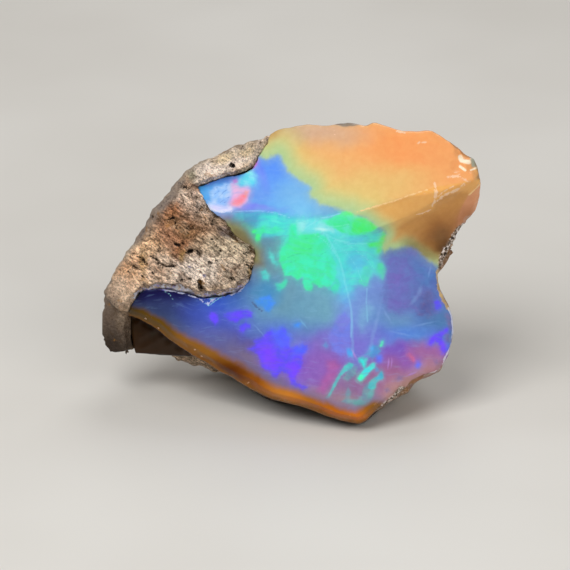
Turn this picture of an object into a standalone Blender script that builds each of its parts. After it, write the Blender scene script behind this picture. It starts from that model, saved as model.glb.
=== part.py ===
"""Rough opal on its host rock: a broken chunk of precious opal with a crust of pale tuff.

The stone is modelled face up, in millimetres: u runs right across the broken face, v runs up it
and w comes out of it. An empty then tips it back onto its underside and scales it to metres.
"""

import math

import bmesh
import bpy
import numpy as np
from mathutils import Matrix, Vector, noise

# Driving dimensions: millimetres and degrees
LEAN = 22.0                 # how far above the horizon the broken face looks at rest
TIP_CLEARANCE = 1.25        # ground to the planes that meet at the lowest corner of the face
JOINT_GAP = 0.3             # parting gap between opal and host rock
FACE_CENTRE = (0.5, 12.5)   # u and v: every section is measured round this point
BACK_DEPTH = 15.2           # from the lowest corner of the face to the back of the stone
FACE_RINGS = 15             # bands of faces from the centre of the face to its rim
LONGEST_STEP = 0.8          # along an outline
PATCH_THICKNESS = 0.9       # how proud the host rock's patch stands of the opal
STRIP_THICKNESS = 0.45      # and its strip along the upper edge
PATCH_TO_STRIP = (18.4, 19.4)   # v where the one thins to the other
GROOVE = (-8.0, 18.9, 0.7, 0.6)     # groove between the two: u, v, radius, depth
CRUST_DEPTH = 9.6           # from the lowest corner of the face to the crust on the back

# Edge of the broken face, u and v, anticlockwise from its lowest corner
FACE_OUTLINE = [
    (5.3, 0.0), (5.95, 0.2), (6.6, 0.85), (8.0, 1.85), (9.1, 2.75), (9.6, 3.4), (10.7, 3.8),
    (11.6, 4.0), (12.35, 5.25), (12.7, 6.7), (12.7, 8.35), (12.3, 9.4), (11.8, 10.5),
    (11.35, 11.8), (11.85, 12.8), (12.45, 14.0), (12.95, 15.1), (13.75, 16.0), (14.45, 16.7),
    (14.85, 17.75), (15.0, 19.0), (14.8, 20.05), (14.5, 20.8), (13.85, 21.2), (13.0, 21.9),
    (11.15, 23.05), (8.85, 23.05), (7.4, 23.5), (6.55, 23.7), (5.95, 23.4), (4.7, 23.7),
    (3.0, 23.45), (1.35, 23.6), (0.1, 23.3), (-0.95, 23.15), (-1.75, 22.65), (-2.85, 22.2),
    (-4.5, 21.7), (-5.75, 21.2), (-7.4, 20.15), (-8.2, 19.6), (-9.05, 19.0), (-9.9, 17.95),
    (-10.95, 16.5), (-11.95, 14.65), (-12.85, 13.4), (-14.2, 11.6), (-14.7, 10.2),
    (-14.25, 9.1), (-13.4, 8.6), (-11.95, 8.1), (-10.5, 7.35), (-9.3, 6.3), (-7.4, 5.15),
    (-5.75, 4.2), (-3.6, 2.95), (-1.55, 1.9), (0.1, 1.5), (2.2, 0.85), (3.9, 0.25),
]
# Foot of the rock, which stands out below the left end of that edge
FOOT_OUTLINE = [
    (-14.7, 10.2), (-14.85, 8.35), (-14.9, 6.6), (-14.6, 5.6), (-13.6, 5.3), (-11.0, 5.4),
    (-8.4, 5.15), (-7.4, 5.15),
]
# Border of the host rock where it shows from the front, ending well outside the stone
ROCK_BORDER = [
    (-2.2, 25.5), (-2.2, 22.1), (-2.75, 21.3), (-3.15, 20.3), (-3.95, 19.9), (-5.35, 19.6),
    (-6.45, 19.1), (-7.3, 18.7), (-7.1, 18.3), (-6.4, 17.5), (-5.65, 16.5), (-4.8, 15.75),
    (-3.95, 15.0), (-3.0, 13.6), (-2.75, 12.7), (-3.05, 11.4), (-3.95, 10.6), (-5.1, 10.3),
    (-6.7, 10.1), (-8.65, 10.4), (-10.2, 10.55), (-11.8, 10.5), (-12.7, 9.8), (-13.35, 8.9),
    (-13.2, 7.3), (-12.9, 5.0), (-13.2, 3.4), (-17.5, 3.4), (-17.5, 25.5),
]
# Crest between the upper and the lower facet of the face: u, v and its height over the lower one
CREST = [
    (-9.0, 18.2, 0.0), (-6.5, 17.3, 0.0), (-5.1, 16.6, 0.0), (-2.0, 16.7, 0.0),
    (0.0, 16.4, 0.0), (1.6, 15.8, 0.15), (4.3, 16.0, 0.9), (6.7, 17.1, 2.1), (9.1, 17.8, 3.0),
    (11.6, 18.2, 3.7), (15.0, 19.3, 4.5),
]
CREST_FALL = 4.2            # the crest's overhang runs out this far below it
CREST_RUN_OUT = 1.4
CREST_SOFTNESS = 0.45
# Planes that meet along the keel from the lowest corner: slope along u, slope along v
LEFT_FACET = (0.30, -0.062)
RIGHT_FACET = (-0.42, -0.175)
KEEL_SOFTNESS = 3.6
UPPER_SLOPE = (0.29, 0.42)  # how fast the upper facet falls back, at its left and right ends
FACE_HALF = 14.8            # half the width of the face
# Shell-shaped hollows in the face: u, v, radius, depth
HOLLOWS = [
    (-5.0, 18.4, 1.5, 0.5), (8.5, 20.9, 3.6, 0.55), (10.0, 14.6, 1.9, 0.6),
    (-4.0, 7.6, 4.0, 0.35), (8.6, 6.4, 3.0, 0.3), (0.2, 20.2, 2.6, 0.25),
]
# Round the face by compass angle (0 is +u, 90 is +v): how far the rim lies inside the edge,
# how far the edge drops below the rim, and how far the girdle lies behind the edge
RIM = [
    (0, 0.30, 0.25, 1.0), (24, 0.35, 0.30, 1.2), (60, 0.35, 0.30, 1.0), (105, 0.40, 0.35, 1.0),
    (118, 0.60, 0.45, 1.2), (146, 0.90, 0.80, 1.4), (165, 1.70, 1.50, 1.6),
    (180, 1.90, 1.80, 1.8), (189, 1.70, 1.60, 2.2), (196, 0.90, 0.75, 2.8),
    (206, 0.75, 0.70, 3.0), (219, 0.75, 0.75, 2.4), (226, 0.75, 0.75, 1.2),
    (288, 0.75, 0.80, 1.0), (300, 0.45, 0.40, 1.0), (338, 0.30, 0.25, 1.0), (360, 0.30, 0.25, 1.0),
]
NECK_UNDERCUT = 0.5         # the edge overhangs the foot this far
NECK_SHARE = 0.6
# Where crust peeks out behind the opal's edge: u, v, reach, how far it stands out sideways
CRUST_PEEKS = [(12.9, 14.0, 1.7, 0.85), (9.5, 2.7, 1.3, 0.4)]
PEEK_LIFT = 3.4             # the crust comes this far forward there
PEEK_SPREAD = 2.2           # over this many times the peek's own reach
CRUST_TILT = 0.035          # the crust thickens to the right by this share of the way across
# Broken flats on the back and sides: outward direction, and a point on each
FLATS = [
    ((-0.08, 0.22, -1.0), (0.0, 12.5, -14.3)),
    ((0.12, 0.80, -0.62), (0.0, 20.8, -10.6)),
    ((0.86, 0.10, -0.52), (11.4, 12.0, -9.4)),
    ((-0.80, 0.24, -0.58), (-11.4, 14.5, -10.6)),
    ((0.66, -0.46, -0.56), (9.6, 5.0, -9.4)),
    ((0.56, 0.55, -0.62), (10.4, 19.8, -8.6)),
    ((-0.50, -0.52, -0.68), (-10.2, 7.0, -12.0)),
]
FLATNESS = 0.94             # 1 makes the flats quite plane
BACK_STEPS = [0.12, 0.25, 0.38, 0.50, 0.62, 0.74, 0.85, 0.95]   # share of the depth behind the girdle
BACK_SINK = 2.4             # the back's middle lies this far below the face's
BACK_ROUNDNESS = 3.0
EDGE_RINGS = 3              # edge, neck and girdle
POLE_RINGS = 6              # the last sections, evened out where they close on the back
POLE_SMOOTHING = 3
LUMPS_GROW = 0.4            # lumps reach full height at this share of the depth
LUMP_SHIFT = 31.7           # picks another run of lumps
# Lumps: size and height of each layer
ROCK_LUMPS = [(4.6, 0.9), (2.2, 0.45), (1.1, 0.2)]
ROCK_FACE_LUMPS = [(2.6, 0.34), (1.1, 0.16)]
OPAL_LUMPS = [(5.0, 0.5), (2.4, 0.15)]
OPAL_FACE_LUMPS = [(6.0, 0.12)]
BORDER_LUMPS = [(3.2, 0.7)]
BORDER_SPREAD = 0.02        # the host rock's border widens by this share for each millimetre back
BORDER_DEPTH = -5.0         # from here, where it meets the face

MILLIMETRE = 0.001
SHARPEST_MITRE = 0.5
FRONT_REACH = 8.0           # cutters reach this far in front of the face
BACK_REACH = 22.0           # and this far behind it
CUTTER_CELL = 2.0


def smooth_min(a, b, softness):
    """The lower of two heights, with the crease between them rounded."""
    near = max(softness - abs(a - b), 0.0) / softness
    return min(a, b) - near * near * softness / 4


def lower_facet(u, v):
    """Height of the two planes that meet along the keel."""
    from_tip = u - FACE_OUTLINE[0][0]
    left = LEFT_FACET[0] * from_tip + LEFT_FACET[1] * v
    right = RIGHT_FACET[0] * from_tip + RIGHT_FACET[1] * v
    return smooth_min(left, right, KEEL_SOFTNESS)


def crest_at(u):
    """v and height of the crest above or below u."""
    us, vs, lifts = zip(*CREST)
    return np.interp(u, us, vs), np.interp(u, us, lifts)


def broken_face(u, v):
    """Height of the face without its hollows: upper facet, crest, lower facet."""
    crest_v, lift = crest_at(u)
    slope = np.interp(u, (-FACE_HALF, FACE_HALF), UPPER_SLOPE)
    upper = lower_facet(u, crest_v) + lift - slope * (v - crest_v)
    run_out = max(1 + (v - crest_v) / CREST_FALL, 0.0)
    return smooth_min(upper, lower_facet(u, v) + lift * run_out ** CREST_RUN_OUT, CREST_SOFTNESS)


def opal_face(u, v):
    """Height of the opal's own face, with its shell-shaped hollows."""
    height = broken_face(u, v)
    for hollow_u, hollow_v, radius, depth in HOLLOWS:
        distance = math.hypot(u - hollow_u, v - hollow_v) / radius
        height -= depth * math.exp(-distance ** 2)
    return height


def rock_face(u, v):
    """Height of the host rock's skin, which stands proud of the opal."""
    proud = np.interp(v, PATCH_TO_STRIP, (PATCH_THICKNESS, STRIP_THICKNESS))
    groove_u, groove_v, radius, depth = GROOVE
    distance = math.hypot(u - groove_u, v - groove_v) / radius
    return broken_face(u, v) + proud - depth * math.exp(-distance ** 2)


def lumps(point, layers):
    """Sum of smooth noise layers at a point."""
    return sum(
        height * noise.noise(point / size + Vector((0.0, 0.0, LUMP_SHIFT * size)))
        for size, height in layers
    )


def reach(outline, angle):
    """Distance from the face's centre to the outline, in a compass direction."""
    cu, cv = FACE_CENTRE
    du, dv = math.cos(angle), math.sin(angle)
    best = 0.0
    for (u0, v0), (u1, v1) in zip(outline, outline[1:] + outline[:1]):
        eu, ev = u1 - u0, v1 - v0
        across = du * ev - dv * eu
        if abs(across) < 1e-9:
            continue
        distance = ((u0 - cu) * ev - (v0 - cv) * eu) / across
        share = ((u0 - cu) * dv - (v0 - cv) * du) / across
        if distance > 0 and -1e-9 <= share <= 1 + 1e-9:
            best = max(best, distance)
    return best


def compass(point):
    """Compass angle of a point round the face's centre, from 0 to a full turn."""
    return math.atan2(point[1] - FACE_CENTRE[1], point[0] - FACE_CENTRE[0]) % math.tau


def section_angles(outline):
    """Angles that hit every corner of the outline, with steps between them kept short."""
    corners = sorted(compass(p) for p in outline)
    angles = []
    for a, b in zip(corners, corners[1:] + [corners[0] + math.tau]):
        length = (b - a) * reach(outline, (a + b) / 2)
        count = max(1, round(length / LONGEST_STEP))
        angles += [a + (b - a) * k / count for k in range(count)]
    return angles


def girdle_outline():
    """The stone's widest outline: the face's edge, with the foot in place of its lower left."""
    first, last = compass(FOOT_OUTLINE[0]), compass(FOOT_OUTLINE[-1])
    kept = [p for p in FACE_OUTLINE if not first <= compass(p) <= last]
    return sorted(kept + FOOT_OUTLINE, key=compass)


def crust_peek(u, v):
    """How far the girdle stands out sideways where the crust peeks past the opal."""
    return sum(
        out * math.exp(-((u - pu) ** 2 + (v - pv) ** 2) / size ** 2)
        for pu, pv, size, out in CRUST_PEEKS
    )


def stone_sections(face):
    """Rings of points from the front of the stone to its back, over a given face height."""
    cu, cv = FACE_CENTRE
    girdle_line = girdle_outline()
    angles = section_angles(FACE_OUTLINE)
    rim_angles, insets, drops, steps = zip(*RIM)
    rings = [[] for _ in range(FACE_RINGS + EDGE_RINGS + len(BACK_STEPS))]
    for angle in angles:
        du, dv = math.cos(angle), math.sin(angle)
        degrees = math.degrees(angle) % 360
        edge = reach(FACE_OUTLINE, angle)
        rim = edge - np.interp(degrees, rim_angles, insets)
        for k in range(FACE_RINGS):
            r = rim * (k + 1) / FACE_RINGS
            u, v = cu + r * du, cv + r * dv
            rings[k].append(Vector((u, v, face(u, v))))
        edge_w = rings[FACE_RINGS - 1][-1].z - np.interp(degrees, rim_angles, drops)
        girdle_w = edge_w - np.interp(degrees, rim_angles, steps)
        girdle = reach(girdle_line, angle)
        girdle += crust_peek(cu + girdle * du, cv + girdle * dv)
        neck = edge - np.interp(girdle - edge, (0.0, 1.0), (0.0, NECK_UNDERCUT))
        neck_w = edge_w + (girdle_w - edge_w) * NECK_SHARE
        rings[FACE_RINGS].append(Vector((cu + edge * du, cv + edge * dv, edge_w)))
        rings[FACE_RINGS + 1].append(Vector((cu + neck * du, cv + neck * dv, neck_w)))
        rings[FACE_RINGS + 2].append(Vector((cu + girdle * du, cv + girdle * dv, girdle_w)))
        for k, share in enumerate(BACK_STEPS):
            r = girdle * (1 - share ** BACK_ROUNDNESS) ** (1 / BACK_ROUNDNESS)
            w = girdle_w + (-BACK_DEPTH - girdle_w) * share
            v = cv + r * dv - BACK_SINK * share ** 2
            rings[FACE_RINGS + EDGE_RINGS + k].append(Vector((cu + r * du, v, w)))
    return rings


def flattened(point):
    """The point, pressed back onto any flat that it stands out of."""
    for direction, through in FLATS:
        normal = Vector(direction).normalized()
        above = (point - Vector(through)).dot(normal)
        if above > 0:
            point = point - normal * above * FLATNESS
    return point


def link(obj, collection):
    """Puts an object in a collection and ties it to the stone's empty."""
    collection.objects.link(obj)
    obj.parent = stone_rest
    return obj


def cut_flat_base(bm):
    """Cuts the stone off at the ground and closes the cut with the flat that it rests on."""
    ground = rest_matrix().inverted()
    through = ground @ Vector((0, 0, 0))
    down = (ground.to_3x3() @ Vector((0, 0, -1))).normalized()
    everything = bm.verts[:] + bm.edges[:] + bm.faces[:]
    cut = bmesh.ops.bisect_plane(
        bm, geom=everything, plane_co=through, plane_no=down, dist=1e-4, clear_outer=True)
    rim = [e for e in cut["geom_cut"] if isinstance(e, bmesh.types.BMEdge)]
    bmesh.ops.contextual_create(bm, geom=rim)


def lofted_stone(name, face, face_lumps, back_lumps, collection):
    """The whole stone as one closed loft through its sections."""
    bm = bmesh.new()
    rings = stone_sections(face)
    verts = [[bm.verts.new(p) for p in ring] for ring in rings]
    front = bm.verts.new((*FACE_CENTRE, face(*FACE_CENTRE)))
    back = bm.verts.new((FACE_CENTRE[0], FACE_CENTRE[1] - BACK_SINK, -BACK_DEPTH))
    count = len(verts[0])
    for i in range(count):
        j = (i + 1) % count
        bm.faces.new((front, verts[0][i], verts[0][j]))
        bm.faces.new((back, verts[-1][j], verts[-1][i]))
        for inner, outer in zip(verts, verts[1:]):
            bm.faces.new((inner[i], outer[i], outer[j], inner[j]))
    behind_girdle = {v: min(share / LUMPS_GROW, 1.0)
                     for ring, share in zip(verts[FACE_RINGS + EDGE_RINGS:], BACK_STEPS)
                     for v in ring}
    behind_girdle[back] = 1.0
    for v in behind_girdle:
        v.co = flattened(v.co)
    near_pole = [v for ring in verts[-POLE_RINGS:] for v in ring] + [back]
    for _ in range(POLE_SMOOTHING):
        bmesh.ops.smooth_vert(bm, verts=near_pole, factor=0.5, use_axis_x=True, use_axis_y=True,
                              use_axis_z=True)
    bm.normal_update()
    moved = [(v, v.co + v.normal * full * lumps(v.co, back_lumps))
             for v, full in behind_girdle.items()]
    on_face = [v for ring in verts[:FACE_RINGS - 1] for v in ring] + [front]
    moved += [(v, v.co + Vector((0, 0, lumps(v.co, face_lumps)))) for v in on_face]
    for v, place in moved:
        v.co = place
    cut_flat_base(bm)
    bmesh.ops.triangulate(bm, faces=bm.faces)
    bmesh.ops.recalc_face_normals(bm, faces=bm.faces)
    mesh = bpy.data.meshes.new(name)
    bm.to_mesh(mesh)
    bm.free()
    return link(bpy.data.objects.new(name, mesh), collection)


def grown(outline, distance):
    """The closed outline, moved outwards by a distance."""
    turn = sum(a[0] * b[1] - b[0] * a[1] for a, b in zip(outline, outline[1:] + outline[:1]))
    side = math.copysign(distance, turn)
    moved = []
    for before, here, after in zip(outline[-1:] + outline, outline, outline[1:] + outline[:1]):
        first = (Vector(here) - Vector(before)).normalized()
        second = (Vector(after) - Vector(here)).normalized()
        across = Vector((first.y + second.y, -first.x - second.x)).normalized()
        mitre = side / max(across.dot(Vector((first.y, -first.x))), SHARPEST_MITRE)
        moved.append((here[0] + across.x * mitre, here[1] + across.y * mitre))
    return moved


def border_prism(name, outline, collection):
    """A 2D curve along the host rock's border, extruded right through the stone."""
    curve = bpy.data.curves.new(name, "CURVE")
    curve.dimensions = "2D"
    curve.fill_mode = "BOTH"
    curve.extrude = (FRONT_REACH + BACK_REACH) / 2
    spline = curve.splines.new("POLY")
    spline.points.add(len(outline) - 1)
    for point, (u, v) in zip(spline.points, outline):
        point.co = (u, v, 0.0, 1.0)
    spline.use_cyclic_u = True
    drawn = bpy.data.objects.new(name + "_curve", curve)
    collection.objects.link(drawn)
    graph = bpy.context.evaluated_depsgraph_get()
    mesh = bpy.data.meshes.new_from_object(drawn.evaluated_get(graph))
    bpy.data.objects.remove(drawn)
    bm = bmesh.new()
    bm.from_mesh(mesh)
    bmesh.ops.remove_doubles(bm, verts=bm.verts, dist=0.001)
    bmesh.ops.translate(bm, verts=bm.verts, vec=(0, 0, (FRONT_REACH - BACK_REACH) / 2))
    anchor = Vector((outline[-1][0], FACE_CENTRE[1], 0.0))
    for v in bm.verts:
        spread = 1 + BORDER_SPREAD * (BORDER_DEPTH - v.co.z)
        v.co.x = anchor.x + (v.co.x - anchor.x) * spread
        v.co.y = anchor.y + (v.co.y - anchor.y) * spread
    bmesh.ops.recalc_face_normals(bm, faces=bm.faces)
    bm.to_mesh(mesh)
    bm.free()
    return as_cutter(link(bpy.data.objects.new(name, mesh), collection))


def crust_block(name, gap, collection):
    """Everything behind the lumpy surface where the opal ends and the crust on the back begins."""
    bm = bmesh.new()
    half = BACK_REACH
    cells = round(2 * half / CUTTER_CELL)
    bmesh.ops.create_grid(bm, x_segments=cells, y_segments=cells, size=half)
    for v in bm.verts:
        u, v_up = v.co.x + FACE_CENTRE[0], v.co.y + FACE_CENTRE[1]
        height = -CRUST_DEPTH + lumps(Vector((u, v_up, 0.0)), BORDER_LUMPS)
        height += CRUST_TILT * (u - FACE_CENTRE[0])
        for pu, pv, size, _ in CRUST_PEEKS:
            distance = math.hypot(u - pu, v_up - pv) / (PEEK_SPREAD * size)
            height += PEEK_LIFT * math.exp(-distance ** 2)
        v.co = (u, v_up, height - gap)
    sheet = bm.faces[:]
    walls = bmesh.ops.extrude_face_region(bm, geom=sheet)
    for v in (g for g in walls["geom"] if isinstance(g, bmesh.types.BMVert)):
        v.co.z = -BACK_REACH
    bmesh.ops.recalc_face_normals(bm, faces=bm.faces)
    mesh = bpy.data.meshes.new(name)
    bm.to_mesh(mesh)
    bm.free()
    return as_cutter(link(bpy.data.objects.new(name, mesh), collection))


def as_cutter(obj):
    """Marks an object as a cutter."""
    obj.hide_render = True
    obj.display_type = "WIRE"
    return obj


def boolean(obj, operation, cutter):
    """Adds an exact Boolean modifier."""
    modifier = obj.modifiers.new(operation.lower(), "BOOLEAN")
    modifier.operation = operation
    modifier.solver = "EXACT"
    modifier.object = cutter
    return modifier


def material(name, colour, roughness):
    """A plain Principled material."""
    made = bpy.data.materials.new(name)
    made.use_nodes = True
    shader = made.node_tree.nodes["Principled BSDF"]
    shader.inputs["Base Color"].default_value = (*colour, 1.0)
    shader.inputs["Roughness"].default_value = roughness
    shader.inputs["Metallic"].default_value = 0.0
    return made


def rest_matrix():
    """Tips the face up from flat to its lean, with the lowest corner just clear of the ground."""
    tip = Matrix.Rotation(math.radians(90 - LEAN), 4, "X")
    scale = Matrix.Scale(MILLIMETRE, 4)
    lift = Matrix.Translation((0, 0, TIP_CLEARANCE * MILLIMETRE))
    return lift @ tip @ scale


def centre_over_origin(nodes):
    """Moves the empty so that the stone's box is centred on the origin."""
    graph = bpy.context.evaluated_depsgraph_get()
    points = []
    for obj in nodes:
        seen = obj.evaluated_get(graph)
        points += [seen.matrix_world @ v.co for v in seen.data.vertices]
    for axis in (0, 1):
        values = [p[axis] for p in points]
        stone_rest.location[axis] -= (min(values) + max(values)) / 2


for old in list(bpy.data.objects):
    bpy.data.objects.remove(old)
parts = bpy.data.collections.new("rough_opal")
cutters = bpy.data.collections.new("cutters")
bpy.context.scene.collection.children.link(parts)
bpy.context.scene.collection.children.link(cutters)

stone_rest = bpy.data.objects.new("stone_rest", None)
parts.objects.link(stone_rest)
stone_rest.matrix_world = rest_matrix()

opal = lofted_stone("opal", opal_face, OPAL_FACE_LUMPS, OPAL_LUMPS, parts)
opal.data.materials.append(material("precious_opal", (0.42, 0.55, 0.70), 0.12))
boolean(opal, "DIFFERENCE", border_prism("opal_border", grown(ROCK_BORDER, JOINT_GAP), cutters))
boolean(opal, "DIFFERENCE", crust_block("opal_back", 0.0, cutters))

rock_region = crust_block("rock_region", JOINT_GAP, cutters)
boolean(rock_region, "UNION", border_prism("rock_border", ROCK_BORDER, cutters))

host_rock = lofted_stone("host_rock", rock_face, ROCK_FACE_LUMPS, ROCK_LUMPS, parts)
host_rock.data.materials.append(material("tuff", (0.55, 0.46, 0.36), 0.9))
boolean(host_rock, "INTERSECT", rock_region)

bpy.context.view_layer.update()
centre_over_origin([opal, host_rock])
bpy.context.view_layer.update()
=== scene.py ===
import math
import random

import bmesh
import bpy
import numpy as np
from mathutils import Matrix, Vector, noise
from mathutils.bvhtree import BVHTree


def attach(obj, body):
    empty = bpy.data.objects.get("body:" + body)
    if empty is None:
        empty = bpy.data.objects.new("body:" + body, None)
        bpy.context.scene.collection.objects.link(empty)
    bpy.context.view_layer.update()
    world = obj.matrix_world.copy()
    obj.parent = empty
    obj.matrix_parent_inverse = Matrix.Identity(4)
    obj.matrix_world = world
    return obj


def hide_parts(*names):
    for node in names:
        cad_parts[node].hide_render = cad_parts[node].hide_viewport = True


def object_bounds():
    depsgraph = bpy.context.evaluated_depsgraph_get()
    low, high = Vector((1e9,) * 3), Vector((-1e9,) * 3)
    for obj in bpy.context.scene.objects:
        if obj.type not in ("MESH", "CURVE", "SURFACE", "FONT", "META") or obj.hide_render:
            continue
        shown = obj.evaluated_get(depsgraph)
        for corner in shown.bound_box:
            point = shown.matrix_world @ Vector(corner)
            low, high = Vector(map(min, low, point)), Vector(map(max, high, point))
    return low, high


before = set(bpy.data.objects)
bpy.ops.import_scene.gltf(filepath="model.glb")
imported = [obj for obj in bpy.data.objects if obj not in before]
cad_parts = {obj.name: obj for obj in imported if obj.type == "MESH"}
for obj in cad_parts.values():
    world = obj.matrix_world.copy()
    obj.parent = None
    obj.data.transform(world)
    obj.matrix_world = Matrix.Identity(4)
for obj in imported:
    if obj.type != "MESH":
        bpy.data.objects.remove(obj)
cadLow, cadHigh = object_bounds()
print("frame loaded:", ", ".join(sorted(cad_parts)))

# The stone is worked on face up, in millimetres: u to the right, v up the broken face, w out of it
mm = 0.001
stone = {
    "lean": 22.0,                        # degrees that the broken face looks up at rest
    "corner": (-0.057, -10.033, 1.25),   # where u, v and w are zero, in the room's millimetres
    "weld": 0.001,                       # corners of the solid that are closer than this are one
    "ease": 0.5,                         # how strongly each round of easing smooths its flat cuts
    "footFade": (0.1, 0.9),              # heights over the ground where its relief sets in
    "seedStep": (7.3, 3.1, 5.7),         # how far apart the noises of two seeds lie
    "inwardsRange": (-3.0, 3.5),         # how far outside and inside an outline is measured
    "above": 20.0,                       # height over the face that the front is looked at from
    "far": 9.0,                          # stands for a distance too great to matter
    # where both pieces are drawn aside, so that the rock's border and the right edge run true: the
    # axis that moves, which way, and a line of places; the move fades out to both sides of it
    "shiftFade": ((-2.6, -0.8), (3.0, 0.8)),
    "shifts": [
        # beside the little window: v, u of the border, and how far it moves left
        (0, -1, [(12.9, -2.7, 0.0), (13.5, -2.9, -0.2), (13.9, -3.2, -0.1), (14.3, -3.5, 0.3),
            (14.9, -3.9, 0.65), (15.4, -4.4, 0.6), (15.8, -4.8, 0.45), (16.8, -5.6, 0.8), (17.4, -6.1, 0.8),
            (18.4, -6.8, 0.6), (19.0, -6.5, 0.25), (19.6, -5.4, 0.0)]),
        # along its lower edge: u, v of the border, and how far it moves up
        (1, 1, [(-12.6, 10.0, 0.0), (-11.6, 10.2, 0.35), (-9.8, 10.05, 0.42), (-8.2, 9.95, 0.32),
            (-7.2, 9.85, 0.08), (-6.4, 9.8, 0.0)]),
        # down the right edge: v, u of the edge, and how far it moves right
        (0, 1, [(3.4, 10.0, 0.0), (4.2, 11.9, 0.2), (4.9, 12.1, 0.08), (5.6, 12.4, 0.1), (7.0, 12.7, 0.18),
            (8.5, 12.6, 0.18), (9.4, 12.2, 0.2), (10.6, 11.75, 0.12), (11.3, 11.5, 0.2), (11.8, 11.4, 0.28),
            (12.8, 11.9, 0.36), (14.3, 12.6, 0.36), (15.1, 12.9, 0.45), (15.9, 13.6, 0.25),
            (17.0, 14.5, 0.2), (17.8, 14.8, 0.12), (19.0, 14.9, 0.05), (20.5, 14.7, 0.0)]),
    ],
}
toRoom = (
    Matrix.Translation(Vector(stone["corner"]) * mm)
    @ Matrix.Rotation(math.radians(90 - stone["lean"]), 4, "X")
    @ Matrix.Scale(mm, 4)
)
toFace = toRoom.inverted()


def smoothStep(low, high, value):
    share = np.clip((value - low) / (high - low), 0.0, 1.0)
    return share * share * (3 - 2 * share)


def readPoints(mesh, what="co"):
    flat = np.empty(len(mesh.vertices) * 3, np.float32)
    mesh.vertices.foreach_get(what, flat)
    return flat.reshape(-1, 3).astype(float)


def writePoints(mesh, points):
    mesh.vertices.foreach_set("co", points.astype(np.float32).ravel())
    mesh.update()


def writeShare(mesh, name, values):
    layer = mesh.attributes.new(name, "FLOAT", "POINT")
    layer.data.foreach_set("value", values.astype(np.float32))


def noiseAt(points, size, seed):
    shift = Vector([seed * step for step in stone["seedStep"]])
    return np.array([noise.noise(Vector(p) / size + shift) for p in points])


def layered(points, layers, seed):
    # noise in layers, each with a size and a height
    return sum(height * noiseAt(points, size, seed + k)
               for k, (size, height) in enumerate(layers))


def evened(mesh, values, rounds):
    # every value becomes the mean of its neighbours, this many times over
    pairs = np.empty(len(mesh.edges) * 2, np.int32)
    mesh.edges.foreach_get("vertices", pairs)
    a, b = pairs.reshape(-1, 2).T
    size = len(values)
    count = np.maximum(np.bincount(a, minlength=size) + np.bincount(b, minlength=size), 1)
    for _ in range(rounds):
        columns = [np.bincount(a, column[b], size) + np.bincount(b, column[a], size)
                   for column in values.T]
        values = np.stack(columns, axis=1) / count[:, None]
    return values


def hollowness(mesh, rounds):
    # above zero in cavities, below zero on ridges, in millimetres
    points = readPoints(mesh)
    away = evened(mesh, points, rounds) - points
    return np.einsum("ij,ij->i", away, readPoints(mesh, "normal"))


def lineDistance(u, v, line):
    best = np.full(len(u), 1e9)
    for (u0, v0), (u1, v1) in zip(line, line[1:]):
        du, dv = u1 - u0, v1 - v0
        share = np.clip(((u - u0) * du + (v - v0) * dv) / (du * du + dv * dv), 0, 1)
        best = np.minimum(best, np.hypot(u - u0 - share * du, v - v0 - share * dv))
    return best


def insideOutline(u, v, outline):
    inside = np.zeros(len(u), bool)
    for (u0, v0), (u1, v1) in zip(outline, outline[1:] + outline[:1]):
        crosses = (v0 > v) != (v1 > v)
        at = u0 + (v - v0) / ((v1 - v0) or 1e-9) * (u1 - u0)
        inside ^= crosses & (u < at)
    return inside


def inwards(u, v, outlines):
    # millimetres inside the nearest outline, negative outside
    low, high = stone["inwardsRange"]
    best = np.full(len(u), low)
    for outline in outlines:
        away = lineDistance(u, v, outline + outline[:1])
        best = np.maximum(best, np.where(insideOutline(u, v, outline), away, -away))
    return np.clip(best, low, high)


def nearOvals(u, v, ovals, fade):
    # 1 inside tilted ovals, 0 outside them
    share = np.zeros(len(u))
    for ovalU, ovalV, longer, shorter, tilt in ovals:
        turn = math.radians(tilt)
        du, dv = u - ovalU, v - ovalV
        along = (du * math.cos(turn) + dv * math.sin(turn)) / longer
        across = (dv * math.cos(turn) - du * math.sin(turn)) / shorter
        share = np.maximum(share, smoothStep(*fade, np.hypot(along, across)))
    return share


def placed(name, data):
    thing = bpy.data.objects.new(name, data)
    bpy.context.scene.collection.objects.link(thing)
    return thing


def fineMesh(nodeName, voxel, rounds):
    # an even fine mesh of a node, in face millimetres, with its flat cuts eased
    bm = bmesh.new()
    bm.from_mesh(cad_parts[nodeName].data)
    bmesh.ops.transform(bm, matrix=toFace, verts=bm.verts)
    bmesh.ops.remove_doubles(bm, verts=bm.verts, dist=stone["weld"])
    coarse = bpy.data.meshes.new(nodeName + "Coarse")
    bm.to_mesh(coarse)
    bm.free()
    holder = placed(nodeName + "Holder", coarse)
    remesh = holder.modifiers.new("remesh", "REMESH")
    remesh.mode = "VOXEL"
    remesh.voxel_size = voxel
    ease = holder.modifiers.new("ease", "SMOOTH")
    ease.factor = stone["ease"]
    ease.iterations = rounds
    graph = bpy.context.evaluated_depsgraph_get()
    fine = bpy.data.meshes.new_from_object(holder.evaluated_get(graph))
    bpy.data.objects.remove(holder)
    bpy.data.meshes.remove(coarse)
    return fine


def movedBorder(points):
    near, far = stone["shiftFade"]
    for axis, way, line in stone["shifts"]:
        at, middle, amount = zip(*line)
        along = points[:, 1 - axis].copy()
        beside = (points[:, axis] - np.interp(along, at, middle)) * way
        share = smoothStep(*near, beside) * smoothStep(*far, beside)
        points[:, axis] += way * share * np.interp(along, at, amount)
    return points


def bites(points, places):
    # how deep small chips cut at each point; each place is u, v, w, radius, depth
    deep = np.zeros(len(points))
    for u, v, w, radius, depth in places:
        away = np.linalg.norm(points - np.array((u, v, w)), axis=1) / radius
        deep = np.maximum(deep, depth * np.clip(1 - away * away, 0, 1))
    return deep


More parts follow.
